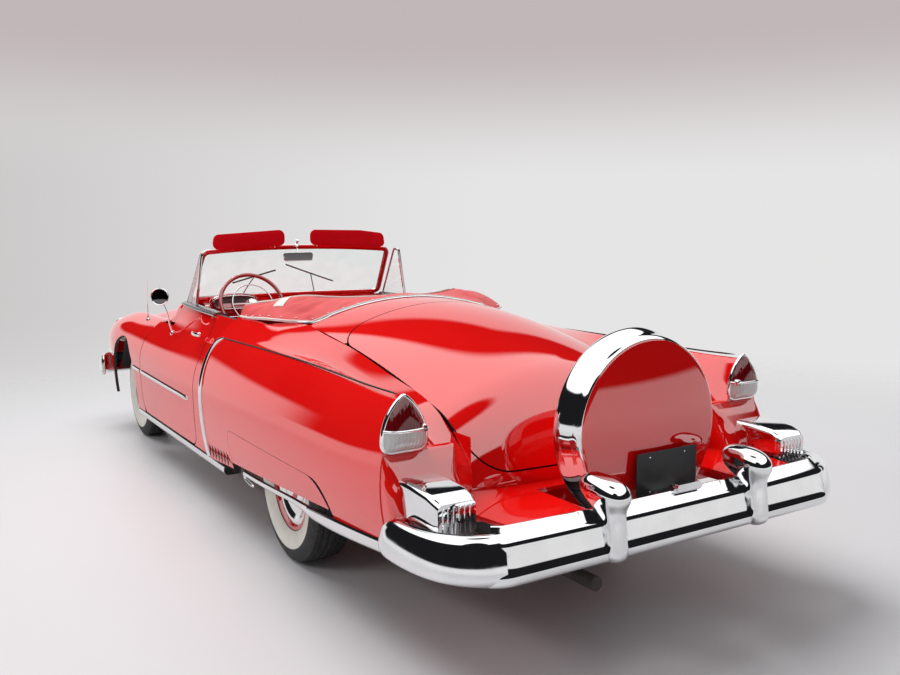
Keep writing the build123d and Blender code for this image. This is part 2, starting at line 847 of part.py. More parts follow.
# Tail lamps: a pointed arch with a red upper and a clear lower lens
def lamp_lens(low_z, high_z):
    with BuildPart() as lens:
        with BuildSketch(Plane.YZ.offset(quarter_end_x - seat_gap)):
            with BuildLine():
                foot_in = (tail_lamp_y - tail_lamp_half, tail_lamp_low_z)
                foot_out = (tail_lamp_y + tail_lamp_half, tail_lamp_low_z)
                peak = (tail_lamp_y, tail_lamp_top_z)
                Line(foot_in, foot_out)
                TangentArc(foot_out, peak, tangent=(0, 1))
                TangentArc(foot_in, peak, tangent=(0, 1))
            make_face()
        extrude(amount=-tail_lamp_depth, taper=10)
        with Locations((quarter_end_x, tail_lamp_y, (low_z + high_z) / 2)):
            Box(400, 400, high_z - low_z, mode=Mode.INTERSECT)
    return lens.part


pair("tail_lamps", lamp_lens(tail_lamp_split_z + panel_seam / 2, tail_lamp_top_z + 50))
pair("backup_lamps", lamp_lens(tail_lamp_low_z - 50, tail_lamp_split_z - panel_seam / 2))

# Ladder frame with a kick over the rear axle and irons out to both bumpers
# Rail columns: x, underside z
rail_rows = [
    (rail_front_x, rail_front_z),
    (front_axle_x + 280, rail_front_z),
    (front_axle_x - 520, rail_low_z),
    (rear_axle_x + 480, rail_low_z),
    (rear_axle_x + 230, rail_kick_z),
    (rear_axle_x - 270, rail_kick_z),
    (rear_axle_x - 620, rail_front_z),
    (rail_rear_x, rail_front_z),
]


def rail_z(x):
    # Underside of the rail at a station.
    for (x1, z1), (x2, z2) in zip(rail_rows, rail_rows[1:]):
        if x2 <= x <= x1:
            return z1 + (z2 - z1) * (x - x1) / (x2 - x1)


# Cross-member columns: x, length, top below the rail's top, depth
cross_rows = [
    (radiator_x, 100, 0, 80),
    (engine_x, 120, 0, 84),
    (620, 90, 0, cross_depth),
    (-520, 90, 0, cross_depth),
    (spare_foot_x, 120, spare_foot_drop, 70),
]
frame_parts = []
for (x1, z1), (x2, z2) in zip(rail_rows, rail_rows[1:]):
    with BuildPart() as rail:
        with BuildSketch(Plane.XZ.offset(-rail_inner_y)):
            with BuildLine():
                Polyline((x1, z1), (x2, z2), (x2, z2 + rail_height), (x1, z1 + rail_height), close=True)
            make_face()
        extrude(amount=-rail_width)
    frame_parts.append(rail.part)
for iron_x, bar_x, side in ((rail_front_x, front_bar_x, 1), (rail_rear_x, rear_bar_x, -1)):
    end_x = bar_x - side * (bumper_wall / 2 + seat_gap)
    iron_z = rail_front_z + rail_height - iron_drop
    with BuildPart() as iron:
        with Locations(((iron_x + end_x) / 2, rail_inner_y + rail_width / 2, iron_z)):
            Box(abs(end_x - iron_x), iron_width, iron_depth)
    frame_parts.append(iron.part)
frame_parts += [mirrored(piece) for piece in frame_parts]
for x, long, drop, deep in cross_rows:
    with BuildPart() as cross_member:
        with Locations((x, 0, rail_z(x) + rail_height - drop)):
            Box(long, 2 * rail_inner_y, deep, align=(Align.CENTER, Align.CENTER, Align.MAX))
    frame_parts.append(cross_member.part)
keep("chassis_frame", Compound(children=frame_parts))

# Floor, firewall, seat bulkhead and trunk floor
with BuildPart() as floor_pan:
    with Locations(((floor_front_x + floor_rear_x) / 2, 0, floor_z)):
        middle_low = (Align.CENTER, Align.CENTER, Align.MIN)
        Box(floor_front_x - floor_rear_x, 2 * sill_inner_y, floor_wall, align=middle_low)
    with Locations((floor_front_x, 0, floor_z)):
        rear_low = (Align.MAX, Align.CENTER, Align.MIN)
        Box(floor_wall, 2 * firewall_half, firewall_top_z - floor_z, align=rear_low)
    with Locations((floor_rear_x, 0, floor_z)):
        front_low = (Align.MIN, Align.CENTER, Align.MIN)
        Box(floor_wall, 2 * bulkhead_half, bulkhead_top_z - floor_z, align=front_low)
    with Locations((floor_rear_x + 2, 0, trunk_floor_z)):
        Box(floor_rear_x + 2 - trunk_rear_x, 2 * trunk_half, floor_wall, align=rear_low)
keep("floor_pan", floor_pan.part)

# Engine block on its cross-member and the radiator ahead of it
engine_z = rail_z(engine_x) + rail_height
with BuildPart() as engine:
    with Locations((engine_x, 0, engine_z)):
        Box(engine_length, engine_width, engine_height, align=(Align.CENTER, Align.CENTER, Align.MIN))
    chamfer(engine.edges().filter_by(Axis.X).group_by(Axis.Z)[-1], 120)
keep("engine", engine.part)

with BuildPart() as radiator:
    with Locations((radiator_x, 0, rail_z(radiator_x) + rail_height)):
        Box(80, 2 * radiator_half, radiator_height, align=(Align.CENTER, Align.CENTER, Align.MIN))
keep("radiator", radiator.part)

# Front suspension: upper and lower arms from the rails to the kingpins
kingpin_y = front_track / 2 - kingpin_inset
with BuildPart() as arm_high:
    boss_z = axle_height + kingpin_half + seat_gap
    root_z = rail_z(front_axle_x) + rail_height - 30
    with BuildSketch(Plane.YZ.offset(front_axle_x - arm_width / 2)):
        with BuildLine():
            Polyline(
                (rail_inner_y + rail_width, root_z),
                (kingpin_y - arm_end, boss_z),
                (kingpin_y - arm_end, boss_z + arm_boss_height),
                (rail_inner_y + rail_width, root_z + 29),
                close=True,
            )
        make_face()
    extrude(amount=arm_width)
    with Locations((front_axle_x, kingpin_y, boss_z)):
        Cylinder(arm_boss_radius, arm_boss_height, align=(Align.CENTER, Align.CENTER, Align.MIN))
with BuildPart() as arm_low:
    boss_z = axle_height - kingpin_half - seat_gap
    root_z = rail_z(front_axle_x) + 4
    with BuildSketch(Plane.YZ.offset(front_axle_x - arm_width / 2)):
        with BuildLine():
            Polyline(
                (rail_inner_y + rail_width, root_z),
                (rail_inner_y + rail_width, root_z + arm_depth),
                (kingpin_y - arm_end, boss_z),
                (kingpin_y - arm_end, boss_z - arm_boss_height),
                close=True,
            )
        make_face()
    extrude(amount=arm_width)
    with Locations((front_axle_x, kingpin_y, boss_z)):
        Cylinder(arm_boss_radius, arm_boss_height, align=(Align.CENTER, Align.CENTER, Align.MAX))
arms = [arm_high.part, arm_low.part]
keep("front_suspension", Compound(children=arms + [mirrored(arm) for arm in arms]))

# Knuckles: kingpin, wheel spindle and steering arm
with BuildPart() as knuckle:
    with Locations((front_axle_x, kingpin_y, axle_height)):
        Cylinder(kingpin_radius, 2 * kingpin_half)
        spindle_length = kingpin_inset + spindle_reach
        middle_low = (Align.CENTER, Align.CENTER, Align.MIN)
        Cylinder(spindle_radius, spindle_length, rotation=(-90, 0, 0), align=middle_low)
        Cylinder(kingpin_radius + 16, 70)
    with Locations((front_axle_x, kingpin_y - 12, axle_height - 50)):
        Box(steer_arm_length, 22, 26, align=(Align.MAX, Align.CENTER, Align.CENTER))
both_sides("knuckle", knuckle.part)

# Rear axle with its springs
spring_y = rail_inner_y + rail_width + 40
with BuildPart() as rear_axle:
    with BuildSketch(Plane.YZ.offset(rear_axle_x)):
        with BuildLine():
            Polyline(
                (0, axle_height),
                (rear_track / 2 + spindle_reach, axle_height),
                (rear_track / 2 + spindle_reach, axle_height + spindle_radius),
                (rear_track / 2 - hub_inset - 12, axle_height + spindle_radius),
                (rear_track / 2 - hub_inset - 12, axle_height + axle_tube),
                (170, axle_height + axle_tube),
                (110, axle_height + diff_radius),
                (0, axle_height + diff_radius),
                close=True,
            )
        make_face()
    revolve(axis=Axis((rear_axle_x, 0, axle_height), (0, 1, 0)))
    mirror(about=Plane.XZ)
with BuildPart() as leaf_spring:
    low_z = axle_height - axle_tube - seat_gap
    with BuildSketch(Plane.XZ.offset(-spring_y + 30)):
        with BuildLine():
            ends = [(rear_axle_x + reach, low_z + spring_rise) for reach in (spring_reach, -spring_reach)]
            ThreePointArc(ends[0], (rear_axle_x, low_z), ends[1])
            ThreePointArc(
                (ends[0][0], ends[0][1] - spring_wall),
                (rear_axle_x, low_z - spring_wall),
                (ends[1][0], ends[1][1] - spring_wall),
            )
            for x, z in ends:
                Line((x, z), (x, z - spring_wall))
        make_face()
    extrude(amount=-60)
    for x, z in ends:
        with Locations((x, rail_inner_y + rail_width, z - spring_wall / 2)):
            Cylinder(20, 72, rotation=(-90, 0, 0), align=(Align.CENTER, Align.CENTER, Align.MIN))
            Box(34, 9, shackle_height, align=(Align.CENTER, Align.MIN, Align.MIN))
keep("rear_axle", Compound(children=[rear_axle.part, leaf_spring.part, mirrored(leaf_spring.part)]))

# Exhaust pipe with its silencer and the fuel tank
with BuildPart() as exhaust:
    with BuildLine() as run:
        Line((engine_x - 330, pipe_y, pipe_z), (pipe_end_x, pipe_y, pipe_z))
    with BuildSketch(Plane(origin=run.line @ 0, z_dir=run.line % 0)):
        Circle(pipe_radius)
    sweep()
    with Locations((silencer_x, pipe_y, pipe_z)):
        Cylinder(silencer_radius, silencer_length, rotation=(0, 90, 0))
keep("exhaust", exhaust.part)

with BuildPart() as fuel_tank:
    with Locations((tank_x, 0, trunk_floor_z - seat_gap)):
        Box(tank_length, 2 * tank_half, tank_height, align=(Align.CENTER, Align.CENTER, Align.MAX))
    fillet(fuel_tank.edges(), 30)
keep("fuel_tank", fuel_tank.part)

# Wheels and tyres: columns name, axle x, half track, side
wheel_rows = [
    ("front_left", front_axle_x, front_track / 2, 1),
    ("front_right", front_axle_x, front_track / 2, -1),
    ("rear_left", rear_axle_x, rear_track / 2, 1),
    ("rear_right", rear_axle_x, rear_track / 2, -1),
]
half_bead = tyre_bead_width / 2
for name, axle_x, half_track, side in wheel_rows:
    centre = (axle_x, side * half_track, axle_height)
    wheel_plane = Plane(origin=centre, x_dir=(0, side, 0), z_dir=(side, 0, 0))
    with BuildPart() as tyre:
        with BuildSketch(wheel_plane):
            with BuildLine():
                shoulder = (tyre_width / 2 - 20, tyre_radius - 10)
                bead = (half_bead, rim_radius)
                bulge = (tyre_width / 2, (tyre_radius + rim_radius) / 2)
                ThreePointArc(bead, bulge, shoulder)
                ThreePointArc(shoulder, (0, tyre_radius), (-shoulder[0], shoulder[1]))
                ThreePointArc((-shoulder[0], shoulder[1]), (-bulge[0], bulge[1]), (-bead[0], bead[1]))
                Line((-bead[0], bead[1]), bead)
            make_face()
        revolve(axis=Axis(wheel_plane.origin, (0, 1, 0)))
    keep("tyre_" + name, tyre.part)
    with BuildPart() as wheel:
        with BuildSketch(wheel_plane):
            with BuildLine():
                rim_out = rim_radius - seat_gap
                bore = spindle_radius + run_fit
                Polyline(
                    (spindle_reach + 2, 0),
                    (spindle_reach + 2, bore),
                    (-hub_inset, bore),
                    (-hub_inset, hub_radius),
                    (18, hub_radius),
                    (18, rim_out - rim_wall),
                    (-half_bead, rim_out - rim_wall),
                    (-half_bead, rim_out),
                    (half_bead, rim_out),
                    (half_bead, rim_out - rim_wall),
                    (hub_face, rim_out - 34),
                )
                ThreePointArc((hub_face, rim_out - 34), (hub_face - 10, 120), (hub_face + 8, 74))
                TangentArc((hub_face + 36, 0), (hub_face + 8, 74), tangent=(0, 1))
                Line((hub_face + 36, 0), (spindle_reach + 2, 0))
            make_face()
        revolve(axis=Axis(wheel_plane.origin, (0, 1, 0)))
    keep("wheel_" + name, wheel.part)


# Windscreen frame and glass
half_bar = screen_bar / 2
with BuildPart() as windshield_frame:
    add(screen_slab(0, 0, 1, half_bar, -half_bar))
    opening = screen_slab(screen_bar, screen_low_share, screen_high_share, screen_bar, -screen_bar)
    add(opening, mode=Mode.SUBTRACT)
keep("windshield_frame", windshield_frame.part)
glass_share = seat_gap / (screen_top_z - screen_base_z)
glass = screen_slab(
    screen_bar + seat_gap,
    screen_low_share + glass_share,
    screen_high_share - glass_share,
    glass_wall / 2,
    -glass_wall / 2,
)
keep("windshield_glass", glass)

# Sun visors folded up behind the header: columns inner y, outer y
visor_rows = [(120, 632), (-644, -62)]
visors = []
for low_y, high_y in visor_rows:
    with BuildPart() as visor:
        with BuildSketch(Plane.YZ.offset(visor_x)):
            with Locations(((low_y + high_y) / 2, visor_low_z)):
                Rectangle(high_y - low_y, visor_height, align=(Align.CENTER, Align.MIN))
        extrude(amount=visor_wall)
        fillet(visor.edges().filter_by(Axis.X).group_by(Axis.Z)[-1], 40)
    visors.append(visor.part - windshield_frame.part)
keep("sun_visors", Compound(children=visors))

with BuildPart() as rear_view_mirror:
    with Locations((mirror_x, 0, mirror_z)):
        Box(22, 200, 58)
    fillet(rear_view_mirror.edges().filter_by(Axis.X), 20)
    with Locations((mirror_x, 0, mirror_z)):
        Cylinder(9, 200, rotation=(0, 90, 0), align=(Align.CENTER, Align.CENTER, Align.MIN))
    add(windshield_frame.part, mode=Mode.SUBTRACT)
    add(glass, mode=Mode.SUBTRACT)
keep("rear_view_mirror", rear_view_mirror.part.solids().sort_by(Axis.X)[0])

# Steering column and wheel on one slanted line
column_dir = Vector(cos(radians(column_angle)), 0, -sin(radians(column_angle)))
wheel_centre = Vector(steer_x, steer_y, steer_z)
column_plane = Plane(origin=wheel_centre, z_dir=column_dir, x_dir=(0, 1, 0))
column_run = (floor_front_x - floor_wall - 12 - steer_x) / column_dir.X
with BuildPart() as steering_column:
    with BuildSketch(column_plane.offset(steer_hub_depth + seat_gap)):
        Circle(column_radius)
    extrude(amount=column_run - steer_hub_depth)
keep("steering_column", steering_column.part)

with BuildPart() as steering_wheel:
    rim_normal = column_dir.cross(Vector(0, 1, 0))
    with BuildSketch(Plane(origin=wheel_centre, x_dir=(0, 1, 0), z_dir=rim_normal)):
        with Locations((steer_radius, 0)):
            Circle(steer_rim)
    revolve(axis=Axis(wheel_centre, column_dir))
    with BuildSketch(column_plane):
        Circle(steer_hub_radius)
    extrude(amount=steer_hub_depth)
    with BuildSketch(column_plane.offset(2)):
        Rectangle(2 * steer_radius, 30)
        with Locations((0, -steer_radius / 2)):
            Rectangle(30, steer_radius)
    extrude(amount=8)
keep("steering_wheel", steering_wheel.part)

# Dashboard under the cowl's rear edge
with BuildPart() as dashboard:
    with BuildSketch(Plane.XZ.offset(-dash_half)):
        with BuildLine():
            front_x = cowl_rear_x - seat_gap
            lower = (dash_x + 40, dash_low_z)
            brow = (dash_x + 60, dash_top_z)
            face = (dash_x, dash_top_z - 70)
            Polyline(face, lower, (front_x, dash_low_z + 10), (front_x, dash_top_z), brow)
            ThreePointArc(brow, (dash_x + 14, dash_top_z - 22), face)
        make_face()
    extrude(amount=2 * dash_half)
    with BuildSketch(column_plane):
        Circle(column_radius + seat_gap)
    extrude(amount=column_run, mode=Mode.SUBTRACT)
keep("dashboard", dashboard.part)

# Seats: columns name, half width, then the side profile's points
floor_top_z = floor_z + floor_wall
front_points = [(600, 0), (610, 190), (540, 250), (190, 205), (80, 690), (0, 712), (-60, 660), (0, 0)]
rear_points = [(-190, 0), (-180, 220), (-250, 262), (-510, 225), (-560, 618)]
rear_points += [(rear_seat_x, 618), (rear_seat_x, 0)]
seat_rows = [
    ("front_seat", front_seat_half, front_points),
    ("rear_seat", rear_seat_half, rear_points),
]
for name, half, points in seat_rows:
    with BuildPart() as seat:
        with BuildSketch(Plane.XZ.offset(-half)):
            with BuildLine():
                Polyline(*[(x, floor_top_z + z) for x, z in points], close=True)
            make_face()
        extrude(amount=2 * half)
        edges = seat.edges().filter_by(Axis.Y)
        fillet(edges.filter_by(lambda edge: edge.center().Z > floor_top_z + 100), seat_turn)
    keep(name, seat.part)

# Boot over the folded top, behind the rear seat
boot_back_x = deck_start_x + panel_seam
with BuildPart() as top_boot:
    with BuildSketch(Plane.XY.offset(boot_low_z)):
        with BuildLine():
            for side in (1, -1):
                Polyline(
                    (boot_turn_x, side * (boot_turn_y + 20)),
                    (boot_turn_x - 268, side * (boot_turn_y - 3)),
                    (boot_back_x, side * (deck_half - 3)),
                )
                Line((boot_turn_x, side * (boot_turn_y + 20)), (boot_turn_x, side * boot_inner_y))
            Line((boot_back_x, deck_half - 3), (boot_back_x, 3 - deck_half))
            ThreePointArc((boot_turn_x, boot_inner_y), (boot_inner_x, 0), (boot_turn_x, -boot_inner_y))
        make_face()
    extrude(amount=boot_height)
    chamfer(top_boot.faces().sort_by(Axis.Z)[-1].edges(), 45)
    for solid_name in ("quarter_left", "quarter_right", "tonneau_panel"):
        add(pieces[solid_name], mode=Mode.SUBTRACT)
keep("top_boot", top_boot.part)

# Vent windows on the doors: a leaning frame with its pane
vent_along = Vector(-1, vent_flare, 0)
vent_normal = vent_along.cross(Vector(0, -vent_lean, 1))
vent_plane = Plane(origin=(vent_x, vent_y, vent_z), x_dir=vent_along, z_dir=vent_normal)
vent_points = [(0, 0), (vent_top_u, vent_height), (vent_rear_u, vent_height), (vent_rear_u, 0)]


def vent_shape(inset, deep):
    # The window's outline set in by 'inset', as a slab centred on its plane.
    with BuildPart() as shape:
        with BuildSketch(vent_plane.offset(-deep / 2)):
            with BuildLine():
                Polyline(*vent_points, close=True)
            make_face()
            if inset:
                offset(amount=-inset, kind=Kind.INTERSECTION)
        extrude(amount=deep)
    return shape.part


vent_pane = vent_shape(vent_bar + seat_gap, vent_glass)
with BuildPart() as vent_frame:
    add(vent_shape(0, vent_bar))
    add(vent_shape(vent_bar, 3 * vent_bar), mode=Mode.SUBTRACT)
    add(pieces["door_left"], mode=Mode.SUBTRACT)
vent = Compound(children=[vent_frame.part.solids().sort_by(SortBy.VOLUME)[-1], vent_pane])
keep("vent_window_left", vent)
keep("vent_window_right", mirrored(vent))

# Door mirror on the driver's side
with BuildPart() as side_mirror:
    with BuildSketch(Plane.XY.offset(side_mirror_z)):
        with BuildLine():
            edge = (side_mirror_x - 20, side_mirror_y + side_mirror_radius)
            Line((side_mirror_x - 20, side_mirror_y), edge)
            ThreePointArc(
                edge,
                (side_mirror_x + 14, side_mirror_y + side_mirror_radius * 0.72),
                (side_mirror_x + 30, side_mirror_y),
            )
            Line((side_mirror_x + 30, side_mirror_y), (side_mirror_x - 20, side_mirror_y))
        make_face()
    revolve(axis=Axis((0, side_mirror_y, side_mirror_z), (1, 0, 0)))
    stalk_foot = Vector(side_mirror_x, side_mirror_foot_y, side_mirror_foot_z)
    stalk_run = Vector(side_mirror_x, side_mirror_y, side_mirror_z) - stalk_foot
    with BuildSketch(Plane(origin=stalk_foot, z_dir=stalk_run)):
        Circle(9)
    extrude(amount=stalk_run.length)
    add(pieces["door_left"], mode=Mode.SUBTRACT)
keep("side_mirror", side_mirror.part.solids().sort_by(SortBy.VOLUME)[-1])

# Spare wheel cover, its bright ring and the pedestal on the rear cross-member
with BuildPart() as spare_cover:
    with BuildSketch(Plane.XZ):
        with BuildLine():
            face_edge = (spare_x, spare_z + spare_radius - 14)
            TangentArc((spare_x - spare_dome, spare_z), face_edge, tangent=(0, 1))
            Polyline(
                face_edge,
                (ring_rear_x, spare_z + spare_radius),
                (ring_front_x, spare_z + spare_radius),
                (spare_front_x, spare_z + spare_radius - 40),
                (spare_front_x, spare_z),
                (spare_x - spare_dome, spare_z),
            )
        make_face()
    revolve(axis=Axis((0, 0, spare_z), (1, 0, 0)))
    with Locations((spare_front_x, 0, rail_z(spare_foot_x) + rail_height - spare_foot_drop)):
        Box(spare_front_x - ring_front_x - 2, 220, 140, align=(Align.MAX, Align.CENTER, Align.MIN))
keep("spare_cover", spare_cover.part)

with BuildPart() as spare_ring:
    with BuildSketch(Plane.XZ):
        with BuildLine():
            seat_z = spare_z + spare_radius + seat_gap
            shoulder = (ring_front_x, spare_z + ring_radius - 12)
            Polyline((ring_rear_x - 4, seat_z), (ring_front_x, seat_z), shoulder)
            ThreePointArc(
                shoulder,
                ((ring_front_x + ring_rear_x) / 2 + 12, spare_z + ring_radius),
                (ring_rear_x - 4, seat_z),
            )
        make_face()
    revolve(axis=Axis((0, 0, spare_z), (1, 0, 0)))
    add(spare_cover.part, mode=Mode.SUBTRACT)
keep("spare_ring", spare_ring.part)

# Splash pan between the tail and the bumper, notched for the spare
with BuildPart() as splash_pan:
    with BuildSketch(Plane.XY.offset(pan_z)):
        with BuildLine():
            Polyline(
                (quarter_end_x - panel_seam, deck_half),
                (quarter_end_x - panel_seam, pan_half),
                (rear_bar_x + bumper_wall / 2 + seat_gap, pan_rear_half),
                (rear_bar_x + bumper_wall / 2 + seat_gap, -pan_rear_half),
                (quarter_end_x - panel_seam, -pan_half),
                (quarter_end_x - panel_seam, -deck_half),
            )
            ThreePointArc(
                (quarter_end_x - panel_seam, -deck_half),
                (deck_centre["base"][0] - 2, 0),
                (quarter_end_x - panel_seam, deck_half),
            )
        make_face()
    extrude(amount=pan_wall)
    with Locations((spare_front_x + 40, 0, pan_z)):
        rear_middle = (Align.MAX, Align.CENTER, Align.CENTER)
        Box(600, 2 * ring_radius + 16, 200, align=rear_middle, mode=Mode.SUBTRACT)
    add(pieces["quarter_left"], mode=Mode.SUBTRACT)
    add(pieces["quarter_right"], mode=Mode.SUBTRACT)
keep("splash_pan", splash_pan.part.solids().sort_by(SortBy.VOLUME)[-1])


def bumper_bar(face_x, corner_x, wing_x, wing_y, corner_y, z):
    # A bar swept in plan from one wing tip round to the other.
    with BuildPart() as bar:
        with BuildLine() as run:
            FilletPolyline(
                (wing_x, wing_y, z),
                (corner_x, wing_y - 12, z),
                (face_x, corner_y, z),
                (face_x, -corner_y, z),
                (corner_x, 12 - wing_y, z),
                (wing_x, -wing_y, z),
                radius=bumper_bend,
            )
        with BuildSketch(Plane(origin=run.line @ 0, z_dir=run.line % 0, x_dir=(0, 0, 1))):
            RectangleRounded(bumper_height, bumper_wall, bumper_wall / 2 - 1)
        sweep()
    return bar.part


# Rear bumper: a straight bar with a lower lip, blades round its corners, guards and wing-end pods
bar_inner_x = rear_bar_x + bumper_wall / 2
bar_top_z = rear_bumper_z + bumper_height / 2 + 3
bar_low_z = rear_bumper_z - bumper_height / 2 + 5
with BuildPart() as rear_bumper:
    with BuildSketch(Plane.XZ.offset(-bar_end_y)):
        with BuildLine():
            crest = (rear_bar_x + 6, bar_top_z)
            brow = (rear_bar_x - 26, bar_top_z - 68)
            waist = (rear_bar_x - 20, bar_low_z + 46)
            lip = (rear_bar_x - 12, bar_low_z)
            Polyline(lip, (bar_inner_x, bar_low_z + 5), (bar_inner_x, bar_top_z - 8), crest)
            ThreePointArc(crest, (rear_bar_x - 18, bar_top_z - 20), brow)
            ThreePointArc(brow, (rear_bar_x - 25, bar_top_z - 102), waist)
            ThreePointArc(waist, (rear_bar_x - 27, bar_low_z + 20), lip)
        make_face()
    extrude(amount=2 * bar_end_y)
    for side in (1, -1):
        with BuildLine() as blade_run:
            FilletPolyline(
                (rear_bar_x + 10, side * (bar_end_y - 46), blade_z),
                (rear_bar_x + 150, side * (wing_half - 44), blade_z),
                (rear_bar_x + 300, side * wing_half, blade_z),
                (rear_wing_x, side * wing_half, blade_z),
                radius=bumper_bend,
            )
        with BuildSketch(Plane(origin=blade_run.line @ 0, z_dir=blade_run.line % 0, x_dir=(0, 0, 1))):
            RectangleRounded(blade_height, bumper_wall, bumper_wall / 2 - 1)
        sweep(path=blade_run.line)
    for y in (guard_y, -guard_y):
        with BuildSketch(Plane.XY.offset(guard_z)):
            with BuildLine():
                top = (rear_bar_x, y + guard_radius)
                TangentArc((tail_x, y), top, tangent=(0, 1))
                TangentArc((rear_bar_x + guard_reach, y), top, tangent=(0, 1))
                Line((tail_x, y), (rear_bar_x + guard_reach, y))
            make_face()
        revolve(axis=Axis((0, y, guard_z), (1, 0, 0)))
        with BuildSketch(Plane.XY.offset(bar_low_z - 2)):
            with Locations((rear_bar_x - 24, y)):
                RectangleRounded(guard_blade, guard_blade, 20)
        extrude(amount=guard_z - bar_low_z)
    for side in (1, -1):
        with BuildSketch(Plane.YZ.offset(pod_rear_x)):
            with Locations((side * pod_y, pod_z)):
                RectangleRounded(pod_width, pod_height, 30)
        with BuildSketch(Plane.YZ.offset(pod_front_x)):
            with Locations((side * pod_y, pod_z)):
                RectangleRounded(pod_width - 10, pod_height - 16, 30)
        loft()
    add(pieces["splash_pan"], mode=Mode.SUBTRACT)
    add(pieces["quarter_left"], mode=Mode.SUBTRACT)
    add(pieces["quarter_right"], mode=Mode.SUBTRACT)
keep("rear_bumper", rear_bumper.part.solids().sort_by(SortBy.VOLUME)[-1])

# Front bumper with its two bullets
with BuildPart() as front_bumper:
    add(bumper_bar(front_bar_x, front_corner_x, front_wing_x, wing_half, front_corner_y, front_bumper_z))
    for y in (guard_y, -guard_y):
        with BuildSketch(Plane.XY.offset(front_bumper_z + bullet_rise)):
            with BuildLine():
                Line((front_bar_x - 20, y), (front_bar_x - 20, y + bullet_radius))
                TangentArc((nose_x, y), (front_bar_x - 20, y + bullet_radius), tangent=(0, 1))
                Line((nose_x, y), (front_bar_x - 20, y))
            make_face()
        revolve(axis=Axis((0, y, front_bumper_z + bullet_rise), (1, 0, 0)))
keep("front_bumper", front_bumper.part)
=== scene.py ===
import bmesh, bpy, math
import numpy as np
from mathutils import Matrix, Vector


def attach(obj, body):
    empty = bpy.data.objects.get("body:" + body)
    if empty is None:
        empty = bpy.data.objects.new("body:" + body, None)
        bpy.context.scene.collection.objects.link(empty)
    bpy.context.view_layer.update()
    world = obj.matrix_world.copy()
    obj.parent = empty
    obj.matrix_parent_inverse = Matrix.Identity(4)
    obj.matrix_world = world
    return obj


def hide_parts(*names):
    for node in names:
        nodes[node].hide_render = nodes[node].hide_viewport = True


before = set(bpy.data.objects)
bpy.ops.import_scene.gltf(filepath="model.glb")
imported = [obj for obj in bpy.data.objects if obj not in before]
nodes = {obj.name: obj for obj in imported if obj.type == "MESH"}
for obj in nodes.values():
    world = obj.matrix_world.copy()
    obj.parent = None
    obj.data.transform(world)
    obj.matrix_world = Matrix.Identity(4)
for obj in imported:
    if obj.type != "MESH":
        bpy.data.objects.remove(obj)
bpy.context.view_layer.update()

scene = bpy.context.scene
mm = 0.001
print("frame loaded", len(nodes), "nodes")


# shader helpers
class Wire:                                     # a socket that takes part in sums
    def __init__(self, tree, socket):
        self.tree = tree
        self.socket = socket

    def sum(self, operation, other, swap=False):
        node = self.tree.nodes.new("ShaderNodeMath")
        node.operation = operation
        for k, value in enumerate((other, self) if swap else (self, other)):
            if isinstance(value, Wire):
                self.tree.links.new(value.socket, node.inputs[k])
            else:
                node.inputs[k].default_value = value
        return Wire(self.tree, node.outputs[0])

    def __add__(self, other): return self.sum("ADD", other)
    def __radd__(self, other): return self.sum("ADD", other)
    def __sub__(self, other): return self.sum("SUBTRACT", other)
    def __rsub__(self, other): return self.sum("SUBTRACT", other, True)
    def __mul__(self, other): return self.sum("MULTIPLY", other)
    def __rmul__(self, other): return self.sum("MULTIPLY", other)
    def __truediv__(self, other): return self.sum("DIVIDE", other)
    def __pow__(self, other): return self.sum("POWER", other)
    def __gt__(self, other): return self.sum("GREATER_THAN", other)
    def __lt__(self, other): return self.sum("LESS_THAN", other)


class Finish:                                   # one material and its nodes
    def __init__(self, name, **fixed):
        self.mat = bpy.data.materials.new(name)
        self.mat.use_nodes = True
        self.tree = self.mat.node_tree
        self.shader = self.tree.nodes["Principled BSDF"]
        self.coord = self.node("TexCoord").outputs["Object"]
        self.feed(**fixed)

    def plug(self, node, sockets):
        for key, value in sockets.items():
            socket = node.inputs[key.replace("_", " ")] if isinstance(key, str) else node.inputs[key]
            if isinstance(value, Wire):
                value = value.socket
            if isinstance(value, bpy.types.NodeSocket):
                self.tree.links.new(value, socket)
            elif isinstance(value, tuple) and len(value) == 3 and socket.type == "RGBA":
                socket.default_value = value + (1,)
            else:
                socket.default_value = value

    def feed(self, **sockets):
        self.plug(self.shader, sockets)

    def node(self, kind, settings=None, sockets=None):
        new = self.tree.nodes.new("ShaderNode" + kind)
        for key, value in (settings or {}).items():
            if key == "stops":
                for k, (place, colour) in enumerate(value):
                    stop = new.color_ramp.elements[k] if k < 2 else new.color_ramp.elements.new(place)
                    stop.position = place
                    stop.color = colour + (1,)
            else:
                setattr(new, key, value)
        self.plug(new, sockets or {})
        return new

    def wire(self, socket): return Wire(self.tree, socket)

    def noise(self, scale, detail=3, stretch=(1, 1, 1)):
        turned = self.node("Mapping", None, {"Vector": self.coord, "Scale": stretch})
        cloud = self.node("TexNoise", None, {"Vector": turned.outputs[0], "Scale": scale, "Detail": detail})
        return self.wire(cloud.outputs["Fac"])

    def axes(self):
        split = self.node("SeparateXYZ", None, {"Vector": self.coord})
        return [self.wire(split.outputs[k]) for k in range(3)]

    def mix(self, share, a, b):
        return self.node("Mix", {"data_type": "RGBA"}, {0: share, 6: a, 7: b}).outputs[2]

    def step(self, value, low, high):               # soft step from 0 to 1
        ranged = self.node("MapRange", {"interpolation_type": "SMOOTHSTEP"},
                           {"Value": value, "From Min": low, "From Max": high})
        return self.wire(ranged.outputs[0])

    def bump(self, height, distance, strength=1.0):
        self.feed(Normal=self.node("Bump", None, {"Height": height, "Distance": distance, "Strength": strength}).outputs[0])


